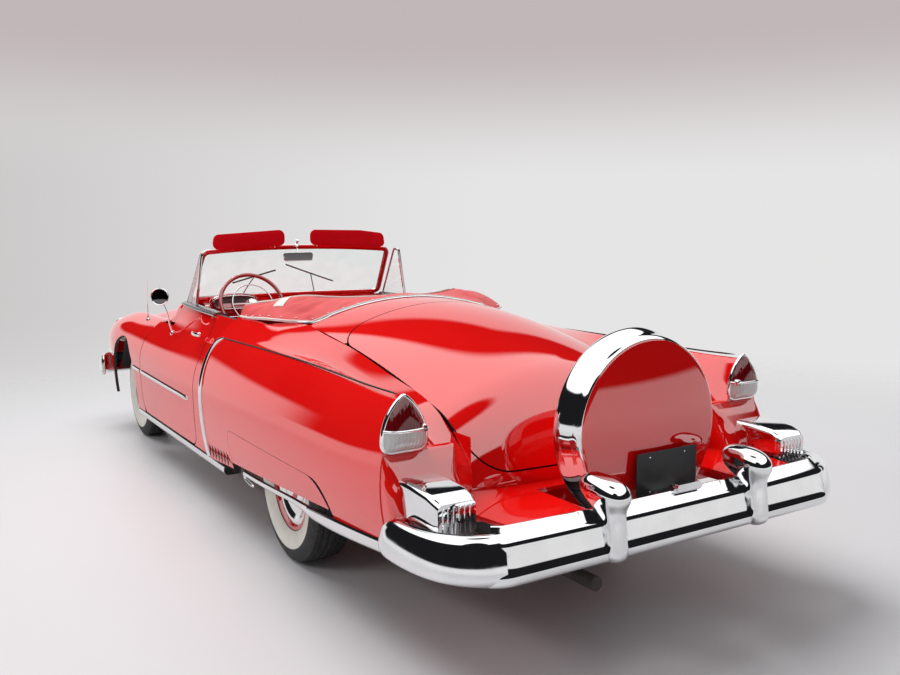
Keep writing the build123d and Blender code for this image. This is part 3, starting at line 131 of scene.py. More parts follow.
def paintFinish(name, deep, light, rough=0.22):
    f = Finish(name, Coat_Weight=1.0, Coat_Roughness=0.015, Coat_IOR=2.15, Specular_IOR_Level=0.0)
    f.feed(Base_Color=f.mix(f.step(f.noise(1.4, 2), 0.35, 0.65), deep, light))
    f.feed(Roughness=f.noise(5, 4) * 0.08 + (rough - 0.04))
    f.bump(f.noise(420, 2), 0.00012, 0.25)         # faint orange peel under the lacquer
    return f.mat


def brightFinish(name, tint=(0.84, 0.85, 0.86), rough=0.045, wear=0.05):
    f = Finish(name, Metallic=1.0)
    smear = f.noise(9, 5)
    f.feed(Base_Color=f.mix(f.step(smear, 0.3, 0.75), tint, tuple(0.93 * c for c in tint)))
    f.feed(Roughness=f.step(f.noise(26, 6), 0.45, 0.8) * wear + rough)
    f.bump(f.noise(60, 3), 0.0002, 0.12)
    return f.mat


def brushedFinish(name, tint=(0.62, 0.63, 0.64), stretch=(2, 60, 60)):
    f = Finish(name, Metallic=1.0)
    grain = f.noise(30, 6, stretch)
    f.feed(Base_Color=f.mix(grain, tint, tuple(0.8 * c for c in tint)), Roughness=grain * 0.18 + 0.16)
    f.bump(grain, 0.0002, 0.3)
    return f.mat


def hideFinish(name, deep, light, grain=520, rough=0.42):
    f = Finish(name, Specular_IOR_Level=0.45)
    pores = f.node("TexVoronoi", {"feature": "DISTANCE_TO_EDGE"}, {"Vector": f.coord, "Scale": grain})
    cell = f.step(f.wire(pores.outputs["Distance"]), 0.0, 0.22)
    shade = f.noise(7, 4)
    f.feed(Base_Color=f.mix(f.step(shade, 0.3, 0.7), deep, light))
    f.feed(Roughness=shade * 0.16 + (rough - 0.08) + (1 - cell) * 0.08)
    f.bump(cell + f.noise(60, 3) * 0.8, 0.0004, 0.45)
    return f.mat


def rubberFinish(name, axle=None):
    f = Finish(name, Specular_IOR_Level=0.3)
    x, y, z = f.axes()
    dust = f.noise(45, 5)
    black = f.mix(f.step(dust, 0.35, 0.75), (0.022, 0.022, 0.023), (0.05, 0.048, 0.046))
    rough = dust * 0.2 + 0.5
    if axle:                                        # white wall between two radii on the outer side
        ax, az, half = axle
        dx, dz = x - ax, z - az
        radius = (dx * dx + dz * dz) ** 0.5
        side = (y * y) ** 0.5
        ring = f.step(radius, 0.209, 0.2105) * (1 - f.step(radius, 0.2885, 0.2905)) * (side > half)
        chalk = f.mix(f.step(f.noise(16, 4), 0.3, 0.8), (0.80, 0.775, 0.70), (0.70, 0.67, 0.59))
        f.feed(Base_Color=f.mix(ring, black, chalk), Roughness=rough - ring * 0.12)
    else:
        f.feed(Base_Color=black, Roughness=rough)
    f.bump(f.noise(260, 3), 0.0003, 0.3)
    return f.mat


def clothFinish(name, deep, light, pile=900, depth=0.0008, sheen=0.3):
    f = Finish(name, Specular_IOR_Level=0.15, Sheen_Weight=sheen, Sheen_Roughness=0.5)
    tuft = f.noise(pile, 2)
    patch = f.noise(12, 4)
    f.feed(Base_Color=f.mix(f.step(tuft + patch * 0.5, 0.45, 1.0), deep, light), Roughness=tuft * 0.1 + 0.85)
    f.bump(tuft, depth, 0.7)
    return f.mat


def metalPaint(name, colour, rough=0.5):
    f = Finish(name, Specular_IOR_Level=0.4)
    grime = f.noise(14, 6)
    f.feed(Base_Color=f.mix(f.step(grime, 0.4, 0.75), colour, tuple(0.55 * c + 0.02 for c in colour)))
    f.feed(Roughness=grime * 0.25 + (rough - 0.1))
    f.bump(f.noise(90, 4), 0.0004, 0.35)
    return f.mat


def glassFinish(name, tint, rough=0.012, bend=1.45):
    f = Finish(name, Transmission_Weight=1.0, IOR=bend, Specular_IOR_Level=0.5)
    haze = f.noise(11, 4)
    f.feed(Base_Color=f.mix(f.step(haze, 0.3, 0.8), tint, tuple(0.95 * c for c in tint)), Roughness=haze * 0.012 + rough)
    return f.mat


def lensFinish(name, deep, light, through):
    f = Finish(name, Transmission_Weight=through, IOR=1.49, Coat_Weight=0.6, Coat_Roughness=0.03)
    flute = f.wire(f.node("TexWave", {"bands_direction": "Y"},
            {"Vector": f.coord, "Scale": 22.0, "Distortion": 0.0}).outputs["Fac"])
    f.feed(Base_Color=f.mix(flute * 0.6 + f.noise(30, 3) * 0.3, deep, light), Roughness=f.noise(40, 3) * 0.06 + 0.06)
    f.bump(flute, 0.0015, 0.6)
    return f.mat


finish = {
    "paint": paintFinish("bodyPaint", (0.84, 0.005, 0.004), (0.88, 0.008, 0.006), 0.4),
    "chrome": brightFinish("brightPlate"),
    "stainless": brushedFinish("brushedBelt", (0.42, 0.43, 0.45)),
    "rocker": brightFinish("rockerStrip", (0.78, 0.79, 0.80), 0.12, 0.1),
    "hide": hideFinish("seatHide", (0.46, 0.010, 0.012), (0.56, 0.018, 0.018)),
    "vinyl": hideFinish("bootVinyl", (0.70, 0.075, 0.078), (0.80, 0.105, 0.105), 760, 0.36),
    "visor": clothFinish("visorCloth", (0.80, 0.002, 0.010), (0.92, 0.004, 0.014), 1500, 0.0004, 0.0),
    "carpet": clothFinish("floorCarpet", (0.22, 0.006, 0.008), (0.36, 0.012, 0.014)),
    "piping": hideFinish("whitePiping", (0.80, 0.77, 0.72), (0.88, 0.86, 0.82), 900, 0.5),
    "frameBlack": metalPaint("chassisBlack", (0.028, 0.028, 0.03)),
    "engineIron": metalPaint("engineIron", (0.05, 0.07, 0.11), 0.45),
    # dark sooty steel for the exhaust, kept this dark also as painted shade so the pipe sinks into the shadow under the
    # bumper
    "pipeSteel": metalPaint("pipeSteel", (0.075, 0.062, 0.055), 0.6),
    "dashPaint": paintFinish("dashPaint", (0.50, 0.006, 0.008), (0.56, 0.010, 0.010), 0.3),
    "rimPaint": paintFinish("rimPaint", (0.58, 0.006, 0.007), (0.62, 0.010, 0.009)),
    "wheelRed": paintFinish("steeringRed", (0.48, 0.006, 0.008), (0.56, 0.010, 0.012), 0.26),
    # dark rubber for the wipers and welts; the same finish is painted shade on panel rims, the scoop's slot bars and
    # the sheet behind the grille
    "gap": rubberFinish("rubberAndPaintedShade"),
    "glass": glassFinish("screenGlass", (0.93, 0.965, 0.955)),
    "redLens": lensFinish("redLens", (0.16, 0.001, 0.003), (0.30, 0.004, 0.008), 0.35),
    "clearLens": lensFinish("clearLens", (0.80, 0.80, 0.79), (0.93, 0.93, 0.92), 0.35),
    "plate": metalPaint("blankPlate", (0.022, 0.023, 0.026), 0.4),
    "mirror": brightFinish("mirrorFace", (0.16, 0.15, 0.155), 0.02, 0.03),
    "dial": metalPaint("dialGrey", (0.20, 0.21, 0.22), 0.35),
    "tyreFront": rubberFinish("tyreFront", (2.020, 0.360, 0.7495)),
    "tyreRear": rubberFinish("tyreRear", (-1.180, 0.360, 0.800)),
}
print("finishes made", len(finish))


# curve helpers, all in millimetres
def arcFrom(start, end, heading, count=14):      # points of the arc that leaves start along heading
    s, e, h = (np.array(v, float) for v in (start, end, heading))
    h = h / np.linalg.norm(h)
    side = np.array([-h[1], h[0]])
    chord = e - s
    lift = chord @ side
    if abs(lift) < 1e-6:
        return np.linspace(s, e, count), h
    radius = (chord @ chord) / (2 * lift)
    centre = s + side * radius
    a0 = math.atan2(*(s - centre)[::-1])
    a1 = math.atan2(*(e - centre)[::-1])
    turn = (a1 - a0) % (2 * math.pi) if radius > 0 else -((a0 - a1) % (2 * math.pi))
    angles = a0 + turn * np.linspace(0, 1, count)
    points = centre + abs(radius) * np.stack([np.cos(angles), np.sin(angles)], 1)
    last = angles[-1] + math.copysign(math.pi / 2, radius)
    return points, np.array([math.cos(last), math.sin(last)])


def arcThrough(a, b, c, count=14):
    (x1, y1), (x2, y2), (x3, y3) = a, b, c
    d = 2 * (x1 * (y2 - y3) + x2 * (y3 - y1) + x3 * (y1 - y2))
    s1, s2, s3 = x1 * x1 + y1 * y1, x2 * x2 + y2 * y2, x3 * x3 + y3 * y3
    centre = np.array([(s1 * (y2 - y3) + s2 * (y3 - y1) + s3 * (y1 - y2)) / d,
                       (s1 * (x3 - x2) + s2 * (x1 - x3) + s3 * (x2 - x1)) / d])
    toB = np.array(b) - centre
    start = np.array(a) - centre
    left = start[0] * toB[1] - start[1] * toB[0] > 0
    heading = np.array([-start[1], start[0]]) * (1 if left else -1)
    return arcFrom(a, c, heading, count)


def spline(xs, ys):                               # natural cubic through table rows
    xs, ys = np.array(xs, float), np.array(ys, float)
    order = np.argsort(xs)
    xs, ys = xs[order], ys[order]
    n = len(xs)
    h = np.diff(xs)
    a = np.eye(n)
    b = np.zeros(n)
    for i in range(1, n - 1):
        a[i, i - 1:i + 2] = h[i - 1], 2 * (h[i - 1] + h[i]), h[i]
        b[i] = 6 * ((ys[i + 1] - ys[i]) / h[i] - (ys[i] - ys[i - 1]) / h[i - 1])
    m = np.linalg.solve(a, b)

    def at(x):
        x = np.asarray(x, float)
        i = np.clip(np.searchsorted(xs, x) - 1, 0, n - 2)
        t, w = x - xs[i], h[i]
        return (ys[i] + t * ((ys[i + 1] - ys[i]) / w - w * (2 * m[i] + m[i + 1]) / 6)
                + t * t * m[i] / 2 + t ** 3 * (m[i + 1] - m[i]) / (6 * w))
    return at


def rounded(points, radius):                      # closed outline with its corners turned
    out = []
    n = len(points)
    for k in range(n):
        a, p, b = (np.array(points[(k + d) % n], float) for d in (-1, 0, 1))
        u, v = (a - p) / np.linalg.norm(a - p), (b - p) / np.linalg.norm(b - p)
        half = math.acos(np.clip(u @ v, -1, 1)) / 2
        turn = radius[k] if isinstance(radius, tuple) else radius
        reach = min(turn / math.tan(half), 0.45 * np.linalg.norm(a - p), 0.45 * np.linalg.norm(b - p))
        out.extend(arcFrom(p + u * reach, p + v * reach, -u, 9)[0])
    return np.array(out)


def insideBy(outline, px, py):                    # distance inside an outline, negative outside
    shape = px.shape
    p = np.stack([px.ravel(), py.ravel()], 1)
    best = np.full(len(p), 1e12)
    crossings = np.zeros(len(p), bool)
    for a, b in zip(outline, np.roll(outline, -1, 0)):
        edge = b - a
        size = edge @ edge
        if size < 1e-12:
            continue
        t = np.clip(((p - a) @ edge) / size, 0, 1)
        best = np.minimum(best, ((p - a - t[:, None] * edge) ** 2).sum(1))
        spans = (a[1] > p[:, 1]) != (b[1] > p[:, 1])
        if edge[1]:
            crossings ^= spans & (p[:, 0] < a[0] + (p[:, 1] - a[1]) * edge[0] / edge[1])
    return (np.sqrt(best) * np.where(crossings, 1, -1)).reshape(shape)


# mesh helpers
def makePiece(name, verts, faces, look, body, smooth=30, replaces=(), flip=False):
    mesh = bpy.data.meshes.new(name)
    if flip:
        faces = [type(f)(reversed(f)) for f in faces]
    mesh.from_pydata([tuple(np.array(v) * mm) for v in verts], [], [list(f) for f in faces])
    looks = look if isinstance(look, (list, tuple)) else [look]
    for item in looks:
        mesh.materials.append(finish[item])
    if len(looks) > 1:                              # the rims of a panel take the dark finish, painted shade in its seams
        mesh.polygons.foreach_set("material_index", [int(isinstance(f, tuple)) for f in faces])
    mesh.validate()
    mesh.polygons.foreach_set("use_smooth", [True] * len(mesh.polygons))
    mesh.update()
    if smooth:
        mesh.set_sharp_from_angle(angle=math.radians(smooth))
    obj = bpy.data.objects.new(name, mesh)
    scene.collection.objects.link(obj)
    if body:
        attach(obj, body)
    for node in replaces:
        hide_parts(node)
    return obj


def mirrorY(verts):
    return np.array(verts) * np.array([1, -1, 1])


def bothSides(name, verts, faces, look, bodies, smooth=30, replaces=("", "")):
    left = makePiece(name + "Left", verts, faces, look, bodies[0], smooth, [replaces[0]] if replaces[0] else [])
    right = makePiece(name + "Right", mirrorY(verts), faces, look, bodies[1], smooth, [replaces[1]] if replaces[1] else [], True)
    return left, right


def trimShell(outer, inner, keep, outward):       # a grid cut along keep's zero line, with its back and rim
    keep = np.where(np.abs(keep) < 0.4, 0.4, keep)
    n, m = keep.shape
    index, front, back, faces = {}, [], [], []

    def corner(c):
        if c not in index:
            index[c] = len(front)
            front.append(outer[c])
            back.append(inner[c])
        return index[c]

    def crossing(a, b):
        key = (a, b) if a < b else (b, a)
        if key not in index:
            t = keep[key[0]] / (keep[key[0]] - keep[key[1]])
            index[key] = len(front)
            front.append(outer[key[0]] * (1 - t) + outer[key[1]] * t)
            back.append(inner[key[0]] * (1 - t) + inner[key[1]] * t)
        return index[key]

    for i in range(n - 1):
        for j in range(m - 1):
            ring = [(i, j), (i + 1, j), (i + 1, j + 1), (i, j + 1)]
            live = [keep[c] > 0 for c in ring]
            if not any(live):
                continue
            poly = []
            for k in range(4):
                a, b = ring[k], ring[(k + 1) % 4]
                if live[k]:
                    poly.append(corner(a))
                if live[k] != live[(k + 1) % 4]:
                    poly.append(crossing(a, b))
            if len(poly) > 2:
                faces.append(poly)
    pts = np.array(front)
    total = sum((np.cross(pts[f[1]] - pts[f[0]], pts[f[2]] - pts[f[0]]) for f in faces), np.zeros(3))
    if total @ np.array(outward, float) < 0:
        faces = [f[::-1] for f in faces]
    edges = {}
    for f in faces:
        for a, b in zip(f, f[1:] + f[:1]):
            edges[(a, b)] = True
    count = len(front)
    shell = list(faces) + [[k + count for k in reversed(f)] for f in faces]
    for a, b in edges:
        if (b, a) not in edges:
            shell.append((b, a, a + count, b + count))     # a tuple marks a rim face
    return np.array(front + back), shell


def gridNormals(grid, outward):
    du = np.gradient(grid, axis=0)
    dv = np.gradient(grid, axis=1)
    n = np.cross(du, dv)
    n /= np.maximum(np.linalg.norm(n, axis=2, keepdims=True), 1e-9)
    sign = np.sign((n * np.array(outward, float)).sum(2, keepdims=True).mean())
    return n * sign


def lathe(profile, centre, axis, segments=96):    # profile rows: distance along the axis, radius
    axis = np.array(axis, float)
    side = np.array([0, 0, 1.0]) if abs(axis[2]) < 0.9 else np.array([1.0, 0, 0])
    u = np.cross(axis, side)
    u /= np.linalg.norm(u)
    v = np.cross(axis, u)
    verts, faces = [], []
    rows = []
    for along, radius in profile:
        if radius < 1e-6:
            rows.append([len(verts)])
            verts.append(np.array(centre) + axis * along)
            continue
        rows.append(list(range(len(verts), len(verts) + segments)))
        for k in range(segments):
            a = 2 * math.pi * k / segments
            verts.append(np.array(centre) + axis * along + radius * (u * math.cos(a) + v * math.sin(a)))
    for r0, r1 in zip(rows, rows[1:]):
        for k in range(segments):
            k2 = (k + 1) % segments
            if len(r0) == 1 and len(r1) == 1:
                continue
            if len(r0) == 1:
                faces.append([r0[0], r1[k2], r1[k]])
            elif len(r1) == 1:
                faces.append([r0[k], r0[k2], r1[0]])
            else:
                faces.append([r0[k], r0[k2], r1[k2], r1[k]])
    return verts, faces


def sweepStrip(path, normals, section, closed=False):  # section rows: across, out; path in 3-D with outward normals
    path, normals = np.array(path, float), np.array(normals, float)
    tangent = np.gradient(path, axis=0)
    if closed:
        tangent = np.roll(path, -1, 0) - np.roll(path, 1, 0)
    tangent /= np.linalg.norm(tangent, axis=1, keepdims=True)
    across = np.cross(normals, tangent)
    across /= np.linalg.norm(across, axis=1, keepdims=True)
    out = np.cross(tangent, across)
    n, k = len(path), len(section)
    verts, faces = [], []
    for p, a, o in zip(path, across, out):
        for sa, so in section:
            verts.append(p + a * sa + o * so)
    for i in range(n if closed else n - 1):
        i2 = (i + 1) % n
        for j in range(k):
            j2 = (j + 1) % k
            faces.append([i * k + j, i2 * k + j, i2 * k + j2, i * k + j2])
    if not closed:
        faces.append([j for j in range(k)])
        faces.append([(n - 1) * k + j for j in reversed(range(k))])
    return np.array(verts), faces


def fixNormals(obj):
    bm = bmesh.new()
    bm.from_mesh(obj.data)
    bmesh.ops.recalc_face_normals(bm, faces=bm.faces)
    bm.to_mesh(obj.data)
    bm.free()
    return obj


def solid(*given):                                  # a piece with its normals turned outward
    return fixNormals(makePiece(*given))


def solidPair(*given):                              # the same on both sides
    return [fixNormals(obj) for obj in bothSides(*given)]


def wholeShell(outer, inner, outward):              # a shell of the whole grid, uncut
    return trimShell(outer, inner, np.ones(outer.shape[:2]) * 9, outward)


def columns(table, *picks):                         # splines of a table's columns over its first one
    return [spline([r[0] for r in table], [r[k] for r in table]) for k in picks]


def oval(across, out, count=12):                    # closed trim section
    return [(across * math.cos(a), out * math.sin(a)) for a in np.linspace(0, 2 * math.pi, count, False)]


def tube(radius, count=12):
    return oval(radius, radius, count)


def smoothLoop(points, count, closed=True):        # even points on a smooth loop through a few
    p = np.array(points, float)
    if closed:
        p = np.concatenate([p[-3:], p, p[:4]])
    steps = np.concatenate([[0], np.cumsum(np.linalg.norm(np.diff(p, axis=0), axis=1))])
    lo, hi = (steps[3], steps[-4]) if closed else (0, steps[-1])
    at = np.linspace(lo, hi, count + (1 if closed else 0))[:count]
    return np.stack([spline(steps, p[:, k])(at) for k in range(p.shape[1])], 1)


def loftRings(rings, capped=True):                 # quads between rings of equal count
    k = len(rings[0])
    verts = np.concatenate(rings)
    faces = []
    for i in range(len(rings) - 1):
        for j in range(k):
            j2 = (j + 1) % k
            faces.append([i * k + j, i * k + j2, (i + 1) * k + j2, (i + 1) * k + j])
    if capped:
        faces.append(list(reversed(range(k))))
        faces.append([(len(rings) - 1) * k + j for j in range(k)])
    return verts, faces


def joined(parts):                                  # several vertex and face lists as one
    verts, faces = [], []
    for v, f in parts:
        base = len(verts)
        verts.extend(np.array(v))
        faces.extend([type(face)(k + base for k in face) for face in f])
    return np.array(verts), faces


def roundBox(y, z, width, height, turn, x, count=10):
    ring = []
    for cy, cz, a0 in ((1, 1, 0), (-1, 1, 90), (-1, -1, 180), (1, -1, 270)):
        for a in np.radians(np.linspace(a0, a0 + 90, count)):
            ring.append((x, y + cy * (width / 2 - turn) + turn * math.cos(a), z + cz * (height / 2 - turn) + turn * math.sin(a)))
    return np.array(ring)


def pairOf(parts):                                  # the same parts on both sides of the car
    verts, faces = joined(parts)
    return np.concatenate([verts, mirrorY(verts)]), faces + [type(f)(k + len(verts) for k in reversed(f)) for f in faces]


def even(points, step, closed=True):               # even points along a polyline
    p = np.array(points, float)
    if closed:
        p = np.concatenate([p, p[:1]])
    run = np.concatenate([[0], np.cumsum(np.linalg.norm(np.diff(p, axis=0), axis=1))])
    count = max(4, int(run[-1] / step))
    at = np.linspace(0, run[-1], count + 1)[:count] if closed else np.linspace(0, run[-1], count)
    return np.stack([np.interp(at, run, p[:, k]) for k in range(p.shape[1])], 1)


def bead(width, height, count=9):                  # rounded trim section
    return [(width / 2 * math.cos(a), height * math.sin(a)) for a in np.linspace(0, math.pi, count)] + [(-width / 2, -2),
            (width / 2, -2)]


# body side tables: x, top y z, valley y z, crown y z, widest y z, foot y z
hoodSide = lambda x: 626 + (590 - 626) * (x - 1440) / (2775 - 1440) + 7
deckEdge = dict(front=(-700, 1085), mid=(-1500, 978), knee=(-2080, 842), tail=(-2290, 672), base=(-2318, 446))
deckCentre = dict(front=(-700, 1192), mid=(-1500, 1140), knee=(-2080, 990), tail=(-2352, 672), base=(-2376, 446))
edgeArc = arcThrough(deckEdge["front"], deckEdge["mid"], deckEdge["knee"], 400)[0]
edgeZ = lambda x: float(np.interp(-x, -edgeArc[:, 0], edgeArc[:, 1]))
fenderRows = [
    (2780, hoodSide(2780), 852, 690, 892, 762, 884, 908, 690, 880, 430),
    (2500, hoodSide(2500), 893, 690, 930, 770, 925, 946, 690, 925, 304),
    (2020, hoodSide(2020), 908, 720, 944, 792, 934, 962, 680, 945, 304),
    (1500, hoodSide(1500), 925, 740, 950, 806, 934, 966, 660, 950, 304),
    (1350, hoodSide(1350), 928, 745, 952, 810, 934, 966, 655, 950, 304),
]
doorRows = [
    (1450, 700, 1090, 775, 1000, 822, 925, 966, 656, 950, 304),
    (1000, 748, 1096, 800, 1000, 838, 915, 966, 650, 950, 304),
    (600, 775, 1088, 815, 1000, 860, 905, 965, 640, 950, 304),
    (90, 785, 1076, 830, 985, 880, 890, 962, 630, 948, 304),
    (-330, 785, 1068, 832, 980, 880, 885, 960, 620, 946, 304),
]
rearRows = [
    (-190, 764, 1084, 838, 1030, 884, 985, 1000, 650, 962, 304),
    (-640, 690, 1094, 792, 1040, 880, 986, 1008, 650, 972, 342),
    (-900, 575, 1072, 765, 1026, 876, 986, 1011, 650, 975, 362),
    (-1400, 575, edgeZ(-1400) + 3, 756, 975, 872, 983, 1012, 648, 976, 396),
    (-1800, 575, edgeZ(-1800) + 2, 766, 908, 875, 974, 1008, 643, 973, 418),
    (-2080, 575, edgeZ(-2080), 776, 846, 879, 968, 1000, 640, 966, 425),
    (-2330, 575, 655, 792, 740, 886, 972, 988, 640, 954, 425),
]
bandCounts = dict(top=14, valley=14, crown=26, wide=24)


def wallCorners(row, depth):                       # the five corners moved in by a wall's depth
    x, ty, tz, vy, vz, cy, cz, wy, wz, fy, fz = row
    unit = lambda a, b: ((b[1] - a[1]) / math.hypot(b[0] - a[0], b[1] - a[1]), (a[0] - b[0]) / math.hypot(b[0] - a[0], b[1] - a[1]))
    first, second = unit((ty, tz), (vy, vz)), unit((vy, vz), (cy, cz))
    slope = math.radians(2 * math.degrees(math.atan2(cz - wz, cy - wy)) - 90)
    third = (-math.sin(slope), math.cos(slope))

    def miter(a, b):
        scale = depth / (1 + a[0] * b[0] + a[1] * b[1])
        return (a[0] + b[0]) * scale, (a[1] + b[1]) * scale
    vi, ci = miter(first, second), miter(second, third)
    top = (ty, tz + depth / first[1]) if abs(first[1]) > abs(first[0]) else (ty + depth / first[0], tz)
    return top, (vy + vi[0], vz + vi[1]), (cy + ci[0], cz + ci[1]), (wy - depth, wz), (fy - depth, fz)


def sideLine(row, depth, soft):                    # one section sampled from its top edge to its foot
    top, valley, crown, wide, foot = (np.array(p, float) for p in wallCorners(row, depth))
    c = bandCounts
    upper, _ = arcFrom(wide, crown, (0, 1), c["crown"] + 1)
    lower, _ = arcFrom(wide, foot, (0, -1), c["wide"] + 1)
    line = np.concatenate([np.linspace(top, valley, c["top"] + 1)[:-1], np.linspace(valley, crown, c["valley"] + 1)[:-1],
                           upper[::-1][:-1], lower])
    spots = np.arange(len(line))
    for turn, (spread, rounds) in ((c["top"], soft[0]), (c["top"] + c["valley"], soft[1])):
        weight = 0.5 * np.exp(-((spots - turn) / spread) ** 2)[:, None]
        weight[0] = weight[-1] = 0
        for _ in range(rounds):
            line[1:-1] += weight[1:-1] * ((line[:-2] + line[2:]) / 2 - line[1:-1])
    return line


def sideGrid(rows, xs, depth, soft):               # sections run through cubic splines along the car
    lines = np.array([sideLine(row, depth, soft) for row in rows])
    rowXs = [row[0] for row in rows]
    grid = np.zeros((len(xs), lines.shape[1], 3))
    grid[:, :, 0] = np.array(xs)[:, None]
    for j in range(lines.shape[1]):
        grid[:, j, 1] = spline(rowXs, lines[:, j, 0])(xs)
        grid[:, j, 2] = spline(rowXs, lines[:, j, 1])(xs)
    return grid


def span(a, b, step=12.0):
    return np.linspace(a, b, max(2, int(abs(b - a) / step) + 1))


def sidePanel(rows, xs, depth, soft, keepOf):
    outer, inner = sideGrid(rows, xs, 0, soft), sideGrid(rows, xs, depth, soft)
    return trimShell(outer, inner, keepOf(outer[:, :, 0], outer[:, :, 1], outer[:, :, 2]), (0, 1, 0.4))


doorEdge = np.concatenate([
    [(143, 1112), (960, 1112), (975, 945)],
    arcFrom((1340, 945), (1410, 865), (1, 0))[0],
    arcFrom((1410, 440), (1330, 310), (0, -1))[0],
    arcFrom((105, 390), (175, 310), (0, -1))[0][::-1],
    [(105, 800)],
])
skirtTurns = (20, 60, 230, 20)                     # the seam turns wide behind the wheel
skirtEdge = rounded([(-645, 200), (-645, 557), (-1892, 557), (-1892, 200)], skirtTurns)
bodySoft = {"fender": ((3.0, 60), (6.0, 160)), "door": ((4.0, 60), (6.0, 140)), "rear": ((3.0, 30), (1.4, 8))}


def wellEdge():
    pts = [(900, 766), (-330, 764), (-600, 742), (-800, 600), (-2530, 600)]
    return np.array(pts + [(x, -y) for x, y in reversed(pts)], float)


# front wings
seamed = ["paint", "gap"]                          # a panel and its rim, darkened as painted shade in the seams
axles = {"front": 2020, "rear": -1180, "frontHalf": 749.5, "rearHalf": 800, "height": 360, "arch": 430}
fenderXs = np.concatenate([span(1380, 2640), span(2640, 2780, 7)[1:]])
arch = lambda x, z: np.hypot(x - axles["front"], z - axles["height"]) - axles["arch"]
keepFender = lambda x, y, z: np.minimum.reduce([-insideBy(doorEdge, x, z) - 8, arch(x, z), np.where(x < 1433.5, y - 788, 99)])
verts, faces = sidePanel(fenderRows, fenderXs, 22, bodySoft["fender"], keepFender)
bothSides("frontWing", verts, faces, seamed, ("body", "body"), 40, ("front_fender_left", "front_fender_right"))

# doors, skin and box in one shell
keepDoor = lambda x, y, z: insideBy(doorEdge, x, z)
verts, faces = sidePanel(doorRows, span(100, 1416), 58, bodySoft["door"], keepDoor)
bothSides("doorShell", verts, faces, seamed, ("door_left", "door_right"), 40, ("door_left", "door_right"))

# rear quarters: strip behind the door, then the wider wing
keepPost = lambda x, y, z: -insideBy(doorEdge, x, z) - 8
verts, faces = sidePanel(doorRows, span(-240, 150), 22, bodySoft["door"], keepPost)
bothSides("doorPost", verts, faces, seamed, ("body", "body"), 40)
well = wellEdge()
keepRear = lambda x, y, z: np.minimum(-insideBy(skirtEdge, x, z), -insideBy(well, x, y))
verts, faces = sidePanel(rearRows, span(-190, -2330), 22, bodySoft["rear"], keepRear)
bothSides("rearWing", verts, faces, seamed, ("body", "body"), 40, ("quarter_left", "quarter_right"))
skirtIn = rounded([(-645.5, 100), (-645.5, 556.5), (-1891.5, 556.5), (-1891.5, 100)], skirtTurns)
skirtLow = lambda x: 376 + (446 - 376) * (x + 645) / (-1892 + 645)
keepSkirt = lambda x, y, z: np.minimum(insideBy(skirtIn, x, z) - 1.6, z - skirtLow(x))
verts, faces = sidePanel(rearRows, span(-640, -1896, 8), 20, bodySoft["rear"], keepSkirt)
makePiece("wheelSkirts", *pairOf([(verts, faces)]), seamed, "body", 40, ["fender_skirts"])

# scoop face between the door strip and the wing's front edge
wingLine = sideGrid(rearRows, [-190], 0, bodySoft["rear"])[0]
postLine = sideGrid(doorRows, [-205], 12, bodySoft["door"])[0]
n = len(wingLine)
bothSides("scoopFace", np.concatenate([wingLine, postLine]), [[k, k + 1, n + k + 1, n + k] for k in range(n - 1)], "paint",
        ("body", "body"), 60)
print("body sides made")

# hood
hoodTable = [(1440, 927, 1078), (2100, 906, 1030), (2600, 880, 955), (2775, 850, 900)]
hoodXs = span(1440, 2775)
edgeOf, midOf = columns(hoodTable, 1, 2)
grid = np.array([[(x, y, z) for y, z in arcThrough((-hoodSide(x) + 7, float(edgeOf(x))), (0, float(midOf(x))),
        (hoodSide(x) - 7, float(edgeOf(x))), 107)[0]] for x in hoodXs])
grid[:, :, 2] += 10 * np.exp(-(grid[:, :, 1] / 60) ** 2) * np.clip((grid[:, :, 0] - 1500) / 400, 0, 1)   # centre ridge
inner = grid - gridNormals(grid, (0, 0, 1)) * 20
verts, faces = wholeShell(grid, inner, (0, 0, 1))
makePiece("hoodPanel", verts, faces, seamed, "hood", 40, ["hood"])

# cowl
cowlTable = [(978, 784, 954, 744, 1096, 1100), (1140, 784, 954, 736, 1094, 1100), (1300, 784, 951, 690, 1020, 1091),
        (1433, 784, 941, 626, 929, 1078)]
cowlXs = span(978, 1433)
column = columns(cowlTable, *range(1, 6))
grid = []
for x in cowlXs:
    fy, fz, sy, sz, cz = (float(c(x)) for c in column)
    crown = arcThrough((sy, sz), (0, cz), (-sy, sz), 110)[0]
    line = np.concatenate([np.linspace((fy, fz), (sy, sz), 16)[:-1], crown, np.linspace((-sy, sz), (-fy, fz), 16)[1:]])
    spots = np.arange(len(line))
    weight = 0.5 * (np.exp(-((spots - 15) / 3) ** 2) + np.exp(-((spots - len(line) + 16) / 3) ** 2))[:, None]
    for _ in range(40):
        line[1:-1] += weight[1:-1] * ((line[:-2] + line[2:]) / 2 - line[1:-1])
    grid.append([(x, y, z) for y, z in line])
grid = np.array(grid)
inner = grid - gridNormals(grid, (0, 0, 1)) * 18
verts, faces = wholeShell(grid, inner, (0, 0, 1))
makePiece("cowlPanel", verts, faces, "paint", "body", 40, ["cowl"])


# deck: lid, panel ahead of it and tail panel
def deckProfile(row):
    top, heading = arcThrough(row["front"], row["mid"], row["knee"], 118)
    turn, heading = arcFrom(row["knee"], row["tail"], heading, 28)
    drop, heading = arcFrom(row["tail"], row["base"], heading, 18)
    return np.concatenate([top, turn[1:], drop[1:]])


